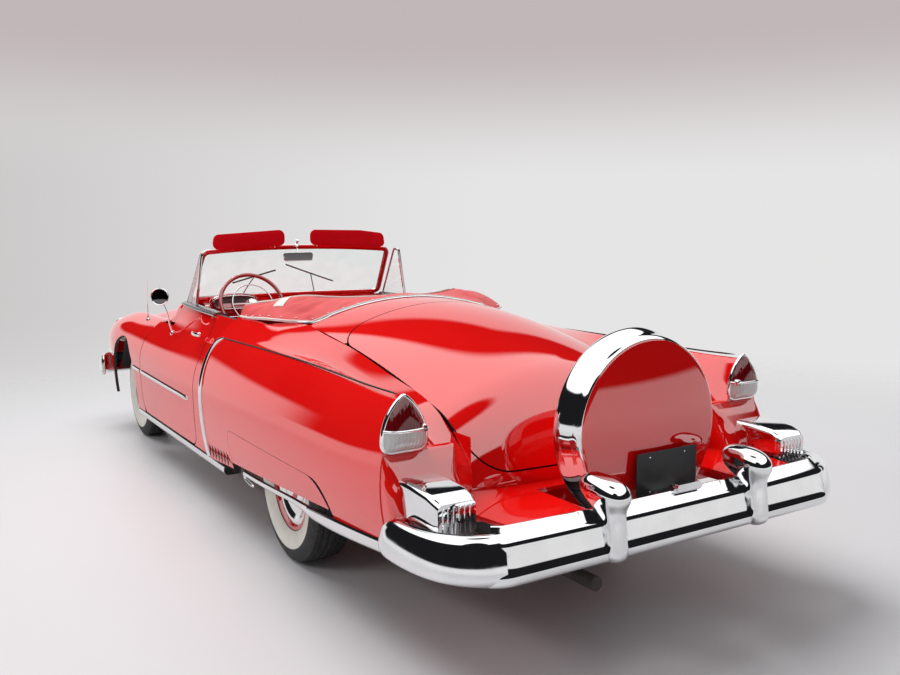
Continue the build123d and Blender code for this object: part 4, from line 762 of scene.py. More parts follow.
edgeLine, centreLine = deckProfile(deckEdge), deckProfile(deckCentre)
deckYs = np.linspace(-600, 600, 101)
share = (deckYs / 600) ** 2
deck = np.zeros((len(edgeLine), len(deckYs), 3))
deck[:, :, 0] = centreLine[:, 0:1] + (edgeLine - centreLine)[:, 0:1] * share
deck[:, :, 1] = deckYs
deck[:, :, 2] = centreLine[:, 1:2] + (edgeLine - centreLine)[:, 1:2] * share
deckBack = deck - gridNormals(deck, (-0.3, 0, 1)) * 20
lidShape = {"front": -1120, "half": 593, "low": 626, "frontTurn": 185, "lowTurn": 190}


def lidInside(x, y, z):
    s = lidShape
    y = np.abs(y)
    field = np.minimum.reduce([s["front"] - x, s["half"] - y, z - s["low"]])
    r = s["frontTurn"]
    dx, dy = x - (s["front"] - r), y - (s["half"] - r)
    field = np.where((dx > 0) & (dy > 0), np.minimum(field, r - np.hypot(dx, dy)), field)
    r = s["lowTurn"]
    dz, dy = (s["low"] + r) - z, y - (s["half"] - r)
    return np.where((dz > 0) & (dy > 0) & (x < -1900), np.minimum(field, r - np.hypot(dz, dy)), field)


dx, dy, dz = (deck[:, :, k] for k in range(3))
lidField = lidInside(dx, dy, dz)
verts, faces = trimShell(deck, deckBack, lidField, (-0.3, 0, 1))
makePiece("trunkLid", verts, faces, seamed, "trunk_lid", 40, ["trunk_lid"])
verts, faces = trimShell(deck, deckBack, np.minimum.reduce([-lidField - 7, 599.5 - np.abs(dy), -800 - dx, dx + 1800]), (0, 0, 1))
makePiece("frontDeck", verts, faces, seamed, "body", 40, ["tonneau_panel"])
verts, faces = trimShell(deck, deckBack, np.minimum.reduce([-lidField - 7, 599.5 - np.abs(dy), -1900 - dx]), (-1, 0, 0))
makePiece("tailPanel", verts, faces, seamed, "body", 40, ["tail_panel"])
print("hood, cowl and deck made")


# wheels and tyres
wheelShape = {"tyreRadius": 360, "tyreWidth": 205, "bead": 150, "rim": 206}


def tyreProfile():
    w = wheelShape
    half, rim, radius = w["tyreWidth"] / 2, w["rim"], w["tyreRadius"]
    shoulder = (half - 20, radius - 10)
    wall, _ = arcThrough((w["bead"] / 2, rim), (half, (radius + rim) / 2), shoulder, 20)
    return wall


def tyrePiece(name, x, y, side, look, body, node):
    wall = tyreProfile()
    crown, _ = arcThrough((82.5, 350), (0, 360), (-82.5, 350), 45)
    segs, pitch = 180, 60
    verts, faces, rows = [], [], []
    line = np.concatenate([wall[:-1], crown, (wall * [-1, 1])[::-1][1:]])
    for k in range(segs):
        a = 2 * math.pi * k / segs
        zig = 3.2 * (abs((k * pitch / segs) % 1 - 0.5) * 4 - 1)
        for across, radius in line:
            r = radius
            if abs(across) < 80 and radius > 345:
                for groove in (-48, -16, 16, 48):
                    r -= 7.5 * max(0.0, 1 - (abs(across - groove - zig) / 4.6) ** 4) if abs(across - groove - zig) < 4.6 else 0
            verts.append((x + r * math.cos(a), y + side * across, axles["height"] + r * math.sin(a)))
    m = len(line)
    for k in range(segs):
        k2 = (k + 1) % segs
        for j in range(m):
            j2 = (j + 1) % m
            faces.append([k * m + j, k2 * m + j, k2 * m + j2, k * m + j2])
    return solid(name, verts, faces, look, body, 45, [node])


capProfile = [(54, 186), (63, 184), (66, 174), (62, 158), (56, 148), (50, 132), (46, 112), (46, 98), (52, 92), (58, 88), (61, 80),
              (66, 60), (72, 52), (80, 46), (86, 36), (88, 22), (88.5, 10), (89, 0)]
corners = [(end + way, axles[end.lower()], side * axles[end.lower() + "Half"], "wheel_%s_%s" % (end.lower(), way.lower()))
           for end in ("Front", "Rear") for way, side in (("Left", 1), ("Right", -1))]
for name, x, half, body in corners:
    side = 1 if half > 0 else -1
    look = "tyreFront" if x > 0 else "tyreRear"
    tyrePiece("tyre" + name, x, half, side, look, body, body.replace("wheel", "tyre"))
    verts, faces = lathe(capProfile, (x, half, axles["height"]), (0, side, 0), 96)
    solid("hubCap" + name, verts, faces, "chrome", body, 40)
    nodes[body].data.materials.clear()
    nodes[body].data.materials.append(finish["rimPaint"])
print("wheels made")


# rear bumper: bar, wing blades round the corners, bulb guards, ribbed pods on the wing ends
bumperShape = {"guardY": 360, "ribs": 6, "barEnd": 836, "barX": -2846,
               "wing": [(-2812, 790), (-2796, 838), (-2752, 905), (-2688, 957), (-2600, 990), (-2500, 1005), (-2386, 1008)]}
barSection = smoothLoop([(-66, 150), (-58, 170), (-48, 175), (-40, 171), (-24, 159), (-8, 147), (0, 140), (5, 132), (8, 118),
        (13, 90), (18, 62), (22, 48), (27, 38), (28, 22), (24, 8), (10, 0), (-30, 2), (-60, 60)], 84)
wingSection = smoothLoop([(-34, 160), (-12, 163), (6, 150), (18, 122), (27, 88), (33, 56), (34, 34), (25, 12), (6, 0),
        (-20, -2), (-36, 10), (-38, 90)], 48)


def bentBar(path, section, tall, low, high, deep):     # a section carried round a plan line, scaled in height and depth
    path = np.array(path, float)
    run = np.gradient(path, axis=0)
    run /= np.linalg.norm(run, axis=1, keepdims=True)
    out = np.stack([run[:, 1], -run[:, 0]], 1)
    out *= np.sign((out * (path - np.array([-1500, 0]) * np.sign(-path[len(path) // 2, 0]))).sum())
    return loftRings([np.array([(x + ox * o * d, y + oy * o * d, a + (b - a) * h / tall) for o, h in section])
                      for (x, y), (ox, oy), a, b, d in zip(path, out, low, high, deep)])


ys = np.linspace(bumperShape["barEnd"], -bumperShape["barEnd"], 121)
bow = (np.abs(ys) / bumperShape["barEnd"]) ** 3
tuck = ((np.abs(ys) - 770) / 66).clip(0, 1) ** 2 * 26                              # the ends tuck in under the wing blades
parts = [bentBar(np.stack([bumperShape["barX"] + 24 * bow + tuck, ys], 1), barSection, 176, 420 - 12 * bow, 598 + 0 * bow,
        np.ones(121))]
wingPath = smoothLoop(bumperShape["wing"], 70, False)
along = np.linspace(0, 1, 70)
ease = np.sqrt(np.clip(1 - ((along - 0.86) / 0.14).clip(0, 1) ** 2, 0.004, 1))      # rounded tip
wing = bentBar(wingPath, wingSection, 160, 406 + 27 * along + 40 * (1 - ease), 575 - 13 * along - 45 * (1 - ease),
        0.35 + 0.65 * ease)
parts += [wing, (mirrorY(wing[0]), wing[1])]
guardRows = [(414, -2866, -2846, 16), (420, -2886, -2836, 30), (432, -2898, -2830, 38), (470, -2901, -2826, 40),
        (530, -2896, -2822, 38), (565, -2893, -2800, 40), (590, -2894, -2770, 46),
             (612, -2903, -2738, 55), (634, -2911, -2712, 62), (655, -2909, -2700, 64), (676, -2895, -2700, 59), (692, -2868,
                     -2712, 47), (702, -2836, -2730, 30), (706, -2806, -2752, 13)]
for y in (bumperShape["guardY"], -bumperShape["guardY"]):
    rows = smoothLoop(guardRows, 60, False)
    parts.append(loftRings([np.array([((a + b) / 2 - (b - a) / 2 * math.copysign(abs(math.cos(t)) ** 0.85, math.cos(t)),
            y + w * math.copysign(abs(math.sin(t)) ** 0.85, math.sin(t)), z)
                                      for t in np.linspace(0, 2 * math.pi, 44, False)]) for z, a, b, w in rows]))
solid("rearBumper", *joined(parts), "chrome", "body", 50, ["rear_bumper"])
podRows = [(-2345, 862, 172, 530, 690), (-2480, 862, 176, 530, 688), (-2580, 860, 172, 528, 678), (-2620, 858, 164, 528, 664),
        (-2636, 857, 150, 532, 652)]


podParts = []
for side in (1, -1):
    podParts.append(loftRings([roundBox(side * y, (lo + hi) / 2, w, hi - lo, 22, x) for x, y, w, lo, hi in podRows]))
    for k in range(bumperShape["ribs"]):
        y = side * (857 - 54 + k * 108 / (bumperShape["ribs"] - 1))
        podParts.append(loftRings([roundBox(y, 592, 8 * s, 96 * (0.9 + 0.1 * s), 3 * s, x) for x,
                s in ((-2630, 1.0), (-2638, 1.0), (-2641, 0.6))]))
solid("wingPods", *joined(podParts), "chrome", "body", 40)
print("rear bumper made")

# tail of each rear wing: closed end, swelling under the lamp, lamp and bezel
wingEnd = sideGrid(rearRows, [-2330], 0, bodySoft["rear"])[0]
ring = [p - [1.2, 0, 0] for p in wingEnd if p[1] >= 600] + [(-2331.2, 600, 425)]
ring = [(-2331.2, 600, float(np.interp(600, wingEnd[:6, 1], wingEnd[:6, 2])))] + ring
verts, faces = np.array(ring), [list(range(len(ring)))]
bothSides("wingEnd", verts, faces, "paint", ("body", "body"), 30)
tailEdgeX = lambda z: float(np.interp(z, edgeLine[::-1, 1], edgeLine[::-1, 0]))
strip = np.array([[(tailEdgeX(z) + 6, 597.5, z), (tailEdgeX(z) - 1, 599.5, z), (-2331, 602, z)] for z in np.linspace(440, 780, 30)])
solidPair("tailFillet", strip.reshape(-1, 3),
        [[i * 3 + j, i * 3 + j + 1, i * 3 + j + 4, i * 3 + j + 3] for i in range(29) for j in range(2)], "paint", ("body",
        "body"), 30)
outerAt = lambda z: float(np.interp(z, wingEnd[::-1, 2][:50], wingEnd[::-1, 1][:50]))
rows = []
for z in np.linspace(428, 766, 30):
    e = np.interp(z, [425, 560, 640, 720, 752, 766], [128, 128, 104, 46, 14, 2])
    wide = outerAt(z) - 3
    turn = min(70, e * 0.9)
    edge, _ = arcFrom((-2326 - e + turn, wide), (-2326 - e, wide - turn), (-1, 0), 12)
    back, _ = arcFrom((-2326 - e, 676 + turn), (-2326 - e + turn, 676), (0, -1), 12)
    rows.append([(x, y, z) for x, y in np.concatenate([[(-2300, wide)], edge, np.linspace(edge[-1], back[0], 14)[1:-1], back,
            [(-2300, 676)]])])
grid = np.array(rows)
n, m = grid.shape[:2]
verts = grid.reshape(-1, 3)
faces = [[i * m + j, i * m + j + 1, (i + 1) * m + j + 1,
        (i + 1) * m + j] for i in range(n - 1) for j in range(m - 1)] + [list(range((n - 1) * m, n * m)), list(reversed(range(m)))]
solidPair("lampBase", verts, faces, "paint", ("body", "body"), 60)

lampShape = {"x": -2331, "y": 887, "half": 88, "low": 770, "split": 850, "top": 968, "bulge": 46}
sideArc, _ = arcFrom((lampShape["y"] + lampShape["half"], lampShape["low"] + 34), (lampShape["y"] + 3, lampShape["top"]),
        (0, 1), 26)
foot, _ = arcFrom((lampShape["y"] + lampShape["half"] - 34, lampShape["low"]),
        (lampShape["y"] + lampShape["half"], lampShape["low"] + 34), (1, 0), 10)
half = np.concatenate([[(lampShape["y"], lampShape["low"])], foot, sideArc[1:]])
outline = np.concatenate([half, (half * [-1, 1] + [2 * lampShape["y"], 0])[::-1][:-1]])
outline = smoothLoop(outline[np.concatenate([[True], np.linalg.norm(np.diff(outline, axis=0), axis=1) > 1e-3])], 120)
centre = np.array([lampShape["y"], 858.0])
rings = np.concatenate([np.linspace(0.02, 0.85, 12), np.linspace(0.88, 1.0, 8)])
grid = np.array([[(lampShape["x"] - lampShape["bulge"] * (1 - r ** 3.2) ** 0.6 - 4,
        *(centre + r * (p - centre))) for p in np.concatenate([outline, outline[:1]])] for r in rings])
backGrid = grid * [0, 1, 1] + [lampShape["x"] - 1, 0, 0]
for name, keep, look, node in (("redLens", grid[:, :, 2] - lampShape["split"] - 3, "redLens", "tail_lamps"),
        ("clearLens", lampShape["split"] - 3 - grid[:, :, 2], "clearLens", "backup_lamps")):
    solid(name, *pairOf([trimShell(grid, backGrid, keep, (-1, 0, 0))]), look, "body", 40, [node])
bezel = sweepStrip([(lampShape["x"] - 2, y, z) for y, z in outline], [(-1, 0, 0)] * len(outline), tube(9, 14), True)
divider = sweepStrip([(lampShape["x"] - 5 - lampShape["bulge"] * (1 - abs(t) ** 3.2) ** 0.6, lampShape["y"] + t * 86,
        lampShape["split"]) for t in np.linspace(-0.99, 0.99, 40)], [(-1, 0, 0)] * 40, tube(6))
ringJewel = lathe([(0, 15), (14, 15), (18, 12), (17, 9), (10, 8), (0, 8)], (lampShape["x"] - 26, 822, lampShape["split"] + 2),
        (-1, 0, 0), 32)
solid("lampBezels", *pairOf([bezel, divider, ringJewel]), "chrome", "body", 40)
jewel = joined([lathe([(0, 9), (8, 8), (13, 4), (14, 0)], (lampShape["x"] - 30, side * 822, lampShape["split"] + 2), (-1, 0, 0),
        24) for side in (1, -1)])
solid("lampJewels", *jewel, "redLens", "body", 40)
print("tail lamps made")

# rear spare wheel cover, bright ring and blank plate
spareShape = {"z": 799, "face": -2656, "dome": 30}
face = [(-spareShape["face"] + spareShape["dome"] * (1 - (r / 330) ** 2), r) for r in np.linspace(0, 330, 30)]
coverLine = face + [(2652, 336), (2644, 341), (2632, 342), (2530, 342), (2512, 338), (2498, 326), (2488, 306), (2484, 280),
        (2484, 0)]
pedestal = loftRings([roundBox(0, (lo + hi) / 2, w, hi - lo, 20, x) for x, w, lo,
        hi in ((-2486, 210, 412, 600), (-2500, 216, 412, 640), (-2530, 210, 412, 600), (-2560, 180, 412, 520))])
verts, faces = joined([lathe(coverLine, (0, 0, spareShape["z"]), (-1, 0, 0), 144), pedestal])
solid("spareCover", verts, faces, "paint", "body", 35, ["spare_cover"])
ringLine = smoothLoop([(2650, 339), (2640, 347), (2618, 354), (2590, 364), (2562, 373), (2544, 375), (2532, 370), (2528, 358),
        (2534, 346), (2590, 343)], 60)
solid("spareBand", *lathe([tuple(p) for p in np.concatenate([ringLine, ringLine[:1]])], (0, 0, spareShape["z"]), (-1, 0, 0),
        144), "chrome", "body", 50, ["spare_ring"])
plateShape = {"left": 120, "right": -190, "low": 556, "high": 722, "x": -2704}
yc, zc = (plateShape["left"] + plateShape["right"]) / 2, (plateShape["low"] + plateShape["high"]) / 2
plateRings = [roundBox(yc, zc, (plateShape["left"] - plateShape["right"]) - i, (plateShape["high"] - plateShape["low"]) - i, 10,
        plateShape["x"] + dx, 6) for dx, i in ((0, 2), (-1, 0), (-3, 0), (-4, 2))]
solid("blankPlate", *loftRings(plateRings), "plate", "body", 30)
bracket = joined([loftRings([roundBox(yc, z, 150, 14, 6, x) for x, z in ((-2700, 566), (-2760, 580), (-2815, 598))]),
                  loftRings([roundBox(yc, 606, 120, 26, 10, x) for x in (-2780, -2806, -2822)]),
                  *[lathe([(0, 4), (2, 4), (3, 2.4), (3.4, 0)], (plateShape["x"] - 4, yc + dy, zc + dz), (-1, 0, 0),
                          20) for dy in (-90, 90) for dz in (-66, 66)]])
solid("plateBracket", *bracket, "chrome", "body", 40)
print("spare and plate made")

# bright trims that lie on the body sides
rearSide, doorSide, fenderSide = ((rows, bodySoft[key]) for rows, key in ((rearRows, "rear"), (doorRows, "door"), (fenderRows,
        "fender")))
skinLines = {}


def skinAt(rows, soft, x, z):                      # point and outward normal on a side panel's skin
    if rows[0] not in skinLines:
        xs = np.arange(rows[-1][0] - 80, rows[0][0] + 81, 10.0)
        skinLines[rows[0]] = xs, sideGrid(rows, xs, 0, soft)[:, 28:, 1:]
    xs, lines = skinLines[rows[0]]

    def reach(px, pz):
        i = int(np.clip((px - xs[0]) // 10, 0, len(xs) - 2))
        line = lines[i] + (lines[i + 1] - lines[i]) * (px - xs[i]) / 10
        return float(np.interp(pz, line[::-1, 1], line[::-1, 0]))
    y = reach(x, z)
    normal = np.array([-(reach(x + 4, z) - reach(x - 4, z)) / 8, 1, -(reach(x, z + 4) - reach(x, z - 4)) / 8])
    return (x, y, z), normal / np.linalg.norm(normal)


def trimOn(rows, soft, points, section, count=60, ends=None):
    path = smoothLoop(points, count, False) if len(points) > 2 else np.linspace(points[0], points[1], count)
    spots = [skinAt(rows, soft, x, z) for x, z in path]
    verts, faces = sweepStrip([p for p, n in spots], [n for p, n in spots], section)
    if ends:                                        # taper the two ends, in shares of the count
        k = len(section)
        mid = np.array([p for p, n in spots])
        for i in range(count):
            t = min(1.0, (i + 0.3) / (ends[0] * count) if ends[0] else 1, (count - 0.7 - i) / (ends[1] * count) if ends[1] else 1)
            verts[i * k:(i + 1) * k] = mid[i] + (verts[i * k:(i + 1) * k] - mid[i]) * math.sqrt(max(t, 0.02))
    return verts, faces


trimShape = {"spearFront": 614, "spearRear": 577, "spearWidth": 30, "scoopWidth": 24, "slots": 7}
spearZ = lambda x: trimShape["spearRear"] + (trimShape["spearFront"] - trimShape["spearRear"]) * (x - 208) / (2600 - 208)
spear = bead(trimShape["spearWidth"], 11)
spearRuns = ((2690, 2392, (0.2, 0.06)), (1648, 1421, (0.08, 0)))       # ahead of the wheel arch and behind it
solid("wingSpears", *pairOf([trimOn(*fenderSide, [(a, spearZ(a)), (b, spearZ(b))], spear, 40, ends) for a, b,
        ends in spearRuns]), "chrome", "body", 50)
verts, faces = trimOn(*doorSide, [(1391, spearZ(1391)), (208, spearZ(208))], spear, 70,
        (0.012, 0.05))      # clear of the wing when the door swings
solidPair("doorSpear", verts, faces, "chrome", ("door_left", "door_right"), 50)
scoopLine = [(-290, 984), (-248, 972), (-216, 946), (-200, 905), (-194, 850), (-192, 760), (-192, 620), (-194, 480), (-200, 318)]
scoop = trimOn(*rearSide, scoopLine, bead(trimShape["scoopWidth"], 13), 80, (0.08, 0))
skirtTable = [(-836, 372, 24), (-1000, 376, 25), (-1300, 390, 26), (-1560, 401, 30), (-1660, 405, 44), (-1800, 414, 56),
        (-2100, 433, 58), (-2400, 452, 54)]   # x, top edge, width
topEdge, bandWide = columns(skirtTable, 1, 2)
bandXs = np.linspace(-836, -2400, 130)
spots = [skinAt(*rearSide, x, float(topEdge(x) - bandWide(x) / 2)) for x in bandXs]
rings = []
for (place, out), x in zip(spots, bandXs):
    wide = float(bandWide(x)) / 2
    rings.append(np.array(place) + np.array([(0, o + 3, h * wide) for h,
            o in ((1, -6), (1, 3), (0.86, 8), (0.3, 10), (-0.4, 9), (-0.85, 5), (-1, -4), (-1, -14))]))
skirtBand = loftRings(rings)
hook = trimOn(*rearSide, [(-842, 362), (-828, 352), (-834, 338), (-860, 330), (-900, 326), (-960, 322)], bead(17, 10), 30,
        (0.1, 0.1))
solid("sideTrims", *pairOf([scoop, skirtBand, hook]), "chrome", "body", 50)
# dark welt along the wing crease; its dark colour is also painted shade of the crease
crease = trimOn(*rearSide, [(-262, 983), (-640, 984), (-900, 984), (-1400, 981), (-1800, 972), (-2080, 966), (-2290, 968)],
        bead(7, 3), 120, (0.05, 0.03))
solid("wingWelts", *pairOf([crease]), "gap", "body", 50)


def slotTree(name, look):                           # slanted bars instanced on the points of a path
    tree = bpy.data.node_groups.new(name, "GeometryNodeTree")
    face = tree.interface
    face.new_socket("Geometry", in_out="INPUT", socket_type="NodeSocketGeometry")
    for label, kind, value in (("barSize", "NodeSocketVector", (0.01, 0.01, 0.1)), ("tilt", "NodeSocketVector", (0, 0, 0)),
            ("count", "NodeSocketInt", 7)):
        face.new_socket(label, in_out="INPUT", socket_type=kind).default_value = value
    face.new_socket("Geometry", in_out="OUTPUT", socket_type="NodeSocketGeometry")
    add = lambda kind: tree.nodes.new(kind)
    start, end = add("NodeGroupInput"), add("NodeGroupOutput")
    curve, even, box, place, real, paint = (add("GeometryNode" + k) for k in ("MeshToCurve", "ResampleCurve", "MeshUVSphere",
            "InstanceOnPoints", "RealizeInstances", "SetMaterial"))
    box.inputs["Segments"].default_value, box.inputs["Rings"].default_value, box.inputs["Radius"].default_value = 16, 10, 0.5
    paint.inputs["Material"].default_value = finish[look]
    link = tree.links.new
    link(start.outputs["Geometry"], curve.inputs["Mesh"])
    link(curve.outputs["Curve"], even.inputs["Curve"])
    link(start.outputs["count"], even.inputs["Count"])
    link(even.outputs["Curve"], place.inputs["Points"])
    link(box.outputs["Mesh"], place.inputs["Instance"])
    link(start.outputs["tilt"], place.inputs["Rotation"])
    link(start.outputs["barSize"], place.inputs["Scale"])
    link(place.outputs["Instances"], real.inputs["Geometry"])
    link(real.outputs["Geometry"], paint.inputs["Geometry"])
    link(paint.outputs["Geometry"], end.inputs["Geometry"])
    return tree


slotTrees = {}


def repeatAlong(name, path, size, tilt, count, look, body):   # Geometry Nodes row along a path given in millimetres
    if look not in slotTrees:
        slotTrees[look] = slotTree("row" + look.capitalize(), look)
    tree = slotTrees[look]
    mesh = bpy.data.meshes.new(name + "Path")
    mesh.from_pydata([tuple(np.array(p) * mm) for p in path], [(k, k + 1) for k in range(len(path) - 1)], [])
    obj = bpy.data.objects.new(name, mesh)
    scene.collection.objects.link(obj)
    mod = obj.modifiers.new("row", "NODES")
    mod.node_group = tree
    ids = {item.name: item.identifier for item in tree.interface.items_tree if item.in_out == "INPUT"}
    mod[ids["barSize"]] = [v * mm for v in size]
    mod[ids["tilt"]] = [math.radians(v) for v in tilt]
    mod[ids["count"]] = count
    made = bpy.data.meshes.new_from_object(obj.evaluated_get(bpy.context.evaluated_depsgraph_get()))
    made.name = name
    made.polygons.foreach_set("use_smooth", [True] * len(made.polygons))
    obj.modifiers.remove(mod)
    obj.data = made
    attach(obj, body)
    return obj


# dark bars on the scoop, painted shade of its slot openings
for side, name in ((1, "Left"), (-1, "Right")):
    path = [np.array(skinAt(*rearSide, x, 384 + (x + 250) * -0.05)[0]) * [1, side, 1] for x in np.linspace(-252, -582, 12)]
    repeatAlong("scoopSlotShade" + name, path, (13, 6, 122), (0, 14, 0), trimShape["slots"], "gap", "body")


def handleParts(x, z):
    spots = [skinAt(*doorSide, x + d, z) for d in np.linspace(-72, 72, 28)]
    lift = [9 + 15 * math.sin(math.pi * k / 27) ** 0.5 for k in range(28)]
    bar = sweepStrip([np.array(p) + n * h for (p, n), h in zip(spots, lift)], [n for p, n in spots], oval(12, 7, 18))
    button = lathe([(0, 14), (8, 14), (12, 11), (13, 0)], np.array(spots[4][0]), spots[4][1], 28)
    return [bar, button]


verts, faces = joined(handleParts(222, 962))
solidPair("doorHandle", verts, faces, "chrome", ("door_left", "door_right"), 50)

# belt cap on the door tops
beltZ, beltY = columns(doorRows, 2, 1)
cap = [(-30, -3), (-30, 4), (-22, 9), (0, 11), (24, 8), (33, 1), (37, -12), (38, -26), (31, -27)]
xs = np.linspace(956, 146, 60)
path = [(x, float(beltY(x)) - 6, float(beltZ(x)) + 1) for x in xs]
verts, faces = sweepStrip(path, [(0, 0.25, 1)] * len(path), cap)
solidPair("doorBelt", verts, faces, "stainless", ("door_left", "door_right"), 50)
print("side trims made")

# boot over the folded top: a soft cover with piping, snaps and a strap
bootShape = {"outer": [(-805, 0), (-805, 260), (-803, 450), (-790, 585), (-716, 668), (-610, 728), (-470, 756), (-340, 764),
        (-232, 768)],
             "front": [(-566, 0), (-560, 200), (-528, 360), (-470, 470), (-410, 540), (-356, 600), (-310, 648), (-262, 692),
                     (-222, 730)],
             "swell": 20, "folds": 44, "low": 975}
b = bootShape
deckTop = lambda x, y: float(np.interp(-x, -centreLine[:, 0], centreLine[:, 1])) * (1 - (y / 600) ** 2) + float(np.interp(-x,
        -edgeLine[:, 0], edgeLine[:, 1])) * (y / 600) ** 2
rimTop = spline([-232, -330, -640, -720, -790], [1084, 1085, 1094, 1090, 1088])


def bootEdge(points):
    half = smoothLoop(points, 61, False)
    return np.concatenate([half[::-1], half[1:] * [1, -1]])


outerEdge, frontEdge = bootEdge(b["outer"]), bootEdge(b["front"])
outerZ = np.array([deckTop(x, y) + 6 if abs(y) < 585 else float(rimTop(x)) + 7 for x, y in outerEdge])
frontZ = np.array([1184 + 15 * math.exp(-((abs(y) - 470) / 130) ** 2) - 34 * (max(abs(y) - 470, 0) / 260) ** 1.6 for x,
        y in frontEdge])
rnd = np.random.default_rng(7)
folds = [(rnd.uniform(-0.95, 0.95), rnd.uniform(0.15, 0.8), rnd.uniform(0.02, 0.06), rnd.uniform(0.12, 0.34),
        rnd.uniform(-9, 8)) for _ in range(b["folds"])]
side = np.linspace(-1, 1, len(outerEdge))
rows = []
for s in np.concatenate([np.linspace(0, 1, 34), np.linspace(1.02, 1.4, 12)]):
    t = min(s, 1.0)
    drop = max(0.0, s - 1.0) / 0.4
    line = outerEdge * (1 - t) + frontEdge * t
    z = outerZ * (1 - t) + frontZ * t
    swell = b["swell"] * (1 + 0.8 * np.exp(-((np.abs(side) - 0.62) / 0.16) ** 2) - 0.35 * np.exp(-(side / 0.4) ** 2))
    z = z + swell * math.sin(math.pi * min(t, 0.999)) ** 0.7
    for u, v, w, l, h in folds:
        z = z + h * np.exp(-((side - u - 0.25 * (t - v)) / w) ** 2) * math.exp(-((t - v) / l) ** 2)
    ahead = 16 * math.sin(math.pi * drop * 0.8)
    x = line[:, 0] + ahead
    z = z * (1 - drop ** 1.3) + b["low"] * drop ** 1.3
    rows.append(np.stack([x, line[:, 1], z], 1))
grid = np.array(rows)
inner = grid - gridNormals(grid, (0, 0, 1)) * 5
verts, faces = wholeShell(grid, inner, (0, 0, 1))
boot = solid("topBoot", verts, faces, "vinyl", "body", 60, ["top_boot"])
cellA = np.linalg.norm(np.cross(grid[1:, :-1] - grid[:-1, :-1], grid[:-1, 1:] - grid[:-1, :-1]), axis=2).sum() * 1e-6
edge3 = grid[0] + [0, 0, 2]
piping = solid("bootPiping", *joined([sweepStrip(edge3, [(0, 0, 1)] * len(edge3), tube(5.5)),
        sweepStrip(grid[33] + [0, 0, 5], [(0, 0, 1)] * len(edge3), tube(6.5))]), "piping", "body", 60)
mould = grid[0] + np.stack([np.where(np.abs(side) > 0.55, 0, -13), 9 * np.sign(side) * (np.abs(side) > 0.4),
        np.full(len(side), -4.0)], 1)
solid("beltMoulding", *sweepStrip(mould, [(0, 0, 1)] * len(mould), tube(6.5)), "chrome", "body", 60)
snaps = grid[2, 4:-4] + [0, 0, 1.5]
snapRow = repeatAlong("bootSnaps", snaps, (13, 13, 6), (0, 0, 0), 26, "chrome", "body")
strapRows = []
for s in np.linspace(0.34, 0.985, 20):
    i = s * 33
    k = int(i)
    for j in (17.0, 18.0, 19.0, 20.0, 21.0):
        p = grid[k] * (1 - (i - k)) + grid[k + 1] * (i - k)
        strapRows.append(p[int(j)] + [0, 0, 3.0])
strapGrid = np.array(strapRows).reshape(20, 5, 3)
verts, faces = wholeShell(strapGrid, strapGrid - [0, 0, 2.5], (0, 0, 1))
strap = solid("bootStrap", verts, faces, "piping", "body", 60)
print("boot made")


# screen: bright outer frame, painted inner frame, wipers, latch and mirror
screenShape = {"baseHalf": 735, "baseX": 990, "baseMid": 1118, "baseZ": 1101, "topHalf": 690, "topX": 725, "topMid": 790,
        "topZ": 1449, "midZ": 1478,
               "wipers": [((0.42, 0.02), (0.34, 0.40), (0.56, 0.29), (0.14, 0.50)),
                       ((-0.34, 0.02), (-0.24, 0.42), (0.05, 0.60), (-0.50, 0.25))]}
ss = screenShape
baseArc = arcThrough((ss["baseX"], -ss["baseHalf"]), (ss["baseMid"], 0), (ss["baseX"], ss["baseHalf"]), 201)[0]
topArc = arcThrough((ss["topX"], -ss["topHalf"]), (ss["topMid"], 0), (ss["topX"], ss["topHalf"]), 201)[0]


def screenAt(u, v):                                 # u across from -1 to 1, v up from 0 to 1
    low = np.array([np.interp(u * ss["baseHalf"], baseArc[:, 1], baseArc[:, 0]), u * ss["baseHalf"], ss["baseZ"]])
    high = np.array([np.interp(u * ss["topHalf"], topArc[:, 1], topArc[:, 0]), u * ss["topHalf"],
            ss["midZ"] + (ss["topZ"] - ss["midZ"]) * u * u])
    return low * (1 - v) + high * v


def screenOut(u, v):
    across = screenAt(min(u + 0.02, 1), v) - screenAt(max(u - 0.02, -1), v)
    rise = screenAt(u, min(v + 0.02, 1)) - screenAt(u, max(v - 0.02, 0))
    n = np.cross(across, rise)
    return n / np.linalg.norm(n) * np.sign(n[0])


loop = even(rounded([(-717, 18), (717, 18), (717, 422), (-717, 422)], 36), 12) / [735, 440]
path, out = [screenAt(*q) for q in loop], [screenOut(*q) for q in loop]
outerBar = [(-17, -2), (-17, 5), (-12, 11), (0, 13), (12, 11), (17, 5), (17, -2)]
innerBar = [(-16, -2.5), (16, -2.5), (17, -10), (10, -17), (-10, -17), (-17, -10)]
solid("screenFrame", *sweepStrip(path, out, outerBar, True), "chrome", "body", 40, ["windshield_frame"])
solid("screenInner", *sweepStrip(path, out, innerBar, True), "paint", "body", 40)
parts = []
for pivot, joint, start, end in ss["wipers"]:
    blade = [screenAt(*(np.array(start) + (np.array(end) - start) * k)) + screenOut(*start) * 13 for k in np.linspace(0, 1, 16)]
    arm = [screenAt(*(np.array(pivot) + (np.array(joint) - pivot) * k))
           + screenOut(*pivot) * (10 + 10 * math.sin(math.pi * k * 0.8)) for k in np.linspace(0, 1, 12)]
    parts += [sweepStrip(blade, [screenOut(*start)] * 16, [(3, -5), (4, 4), (0, 7), (-4, 4), (-3, -5)]),
            sweepStrip(arm, [screenOut(*pivot)] * 12, tube(3.6, 8)),
              lathe([(-4, 13), (6, 12), (14, 7), (16, 0)], screenAt(*pivot), screenOut(*pivot), 20)]
solid("wipers", *joined(parts), "gap", "body", 40)
mirrorShape = {"x": 690, "y": 36, "z": 1394, "width": 216, "height": 62}
m = mirrorShape
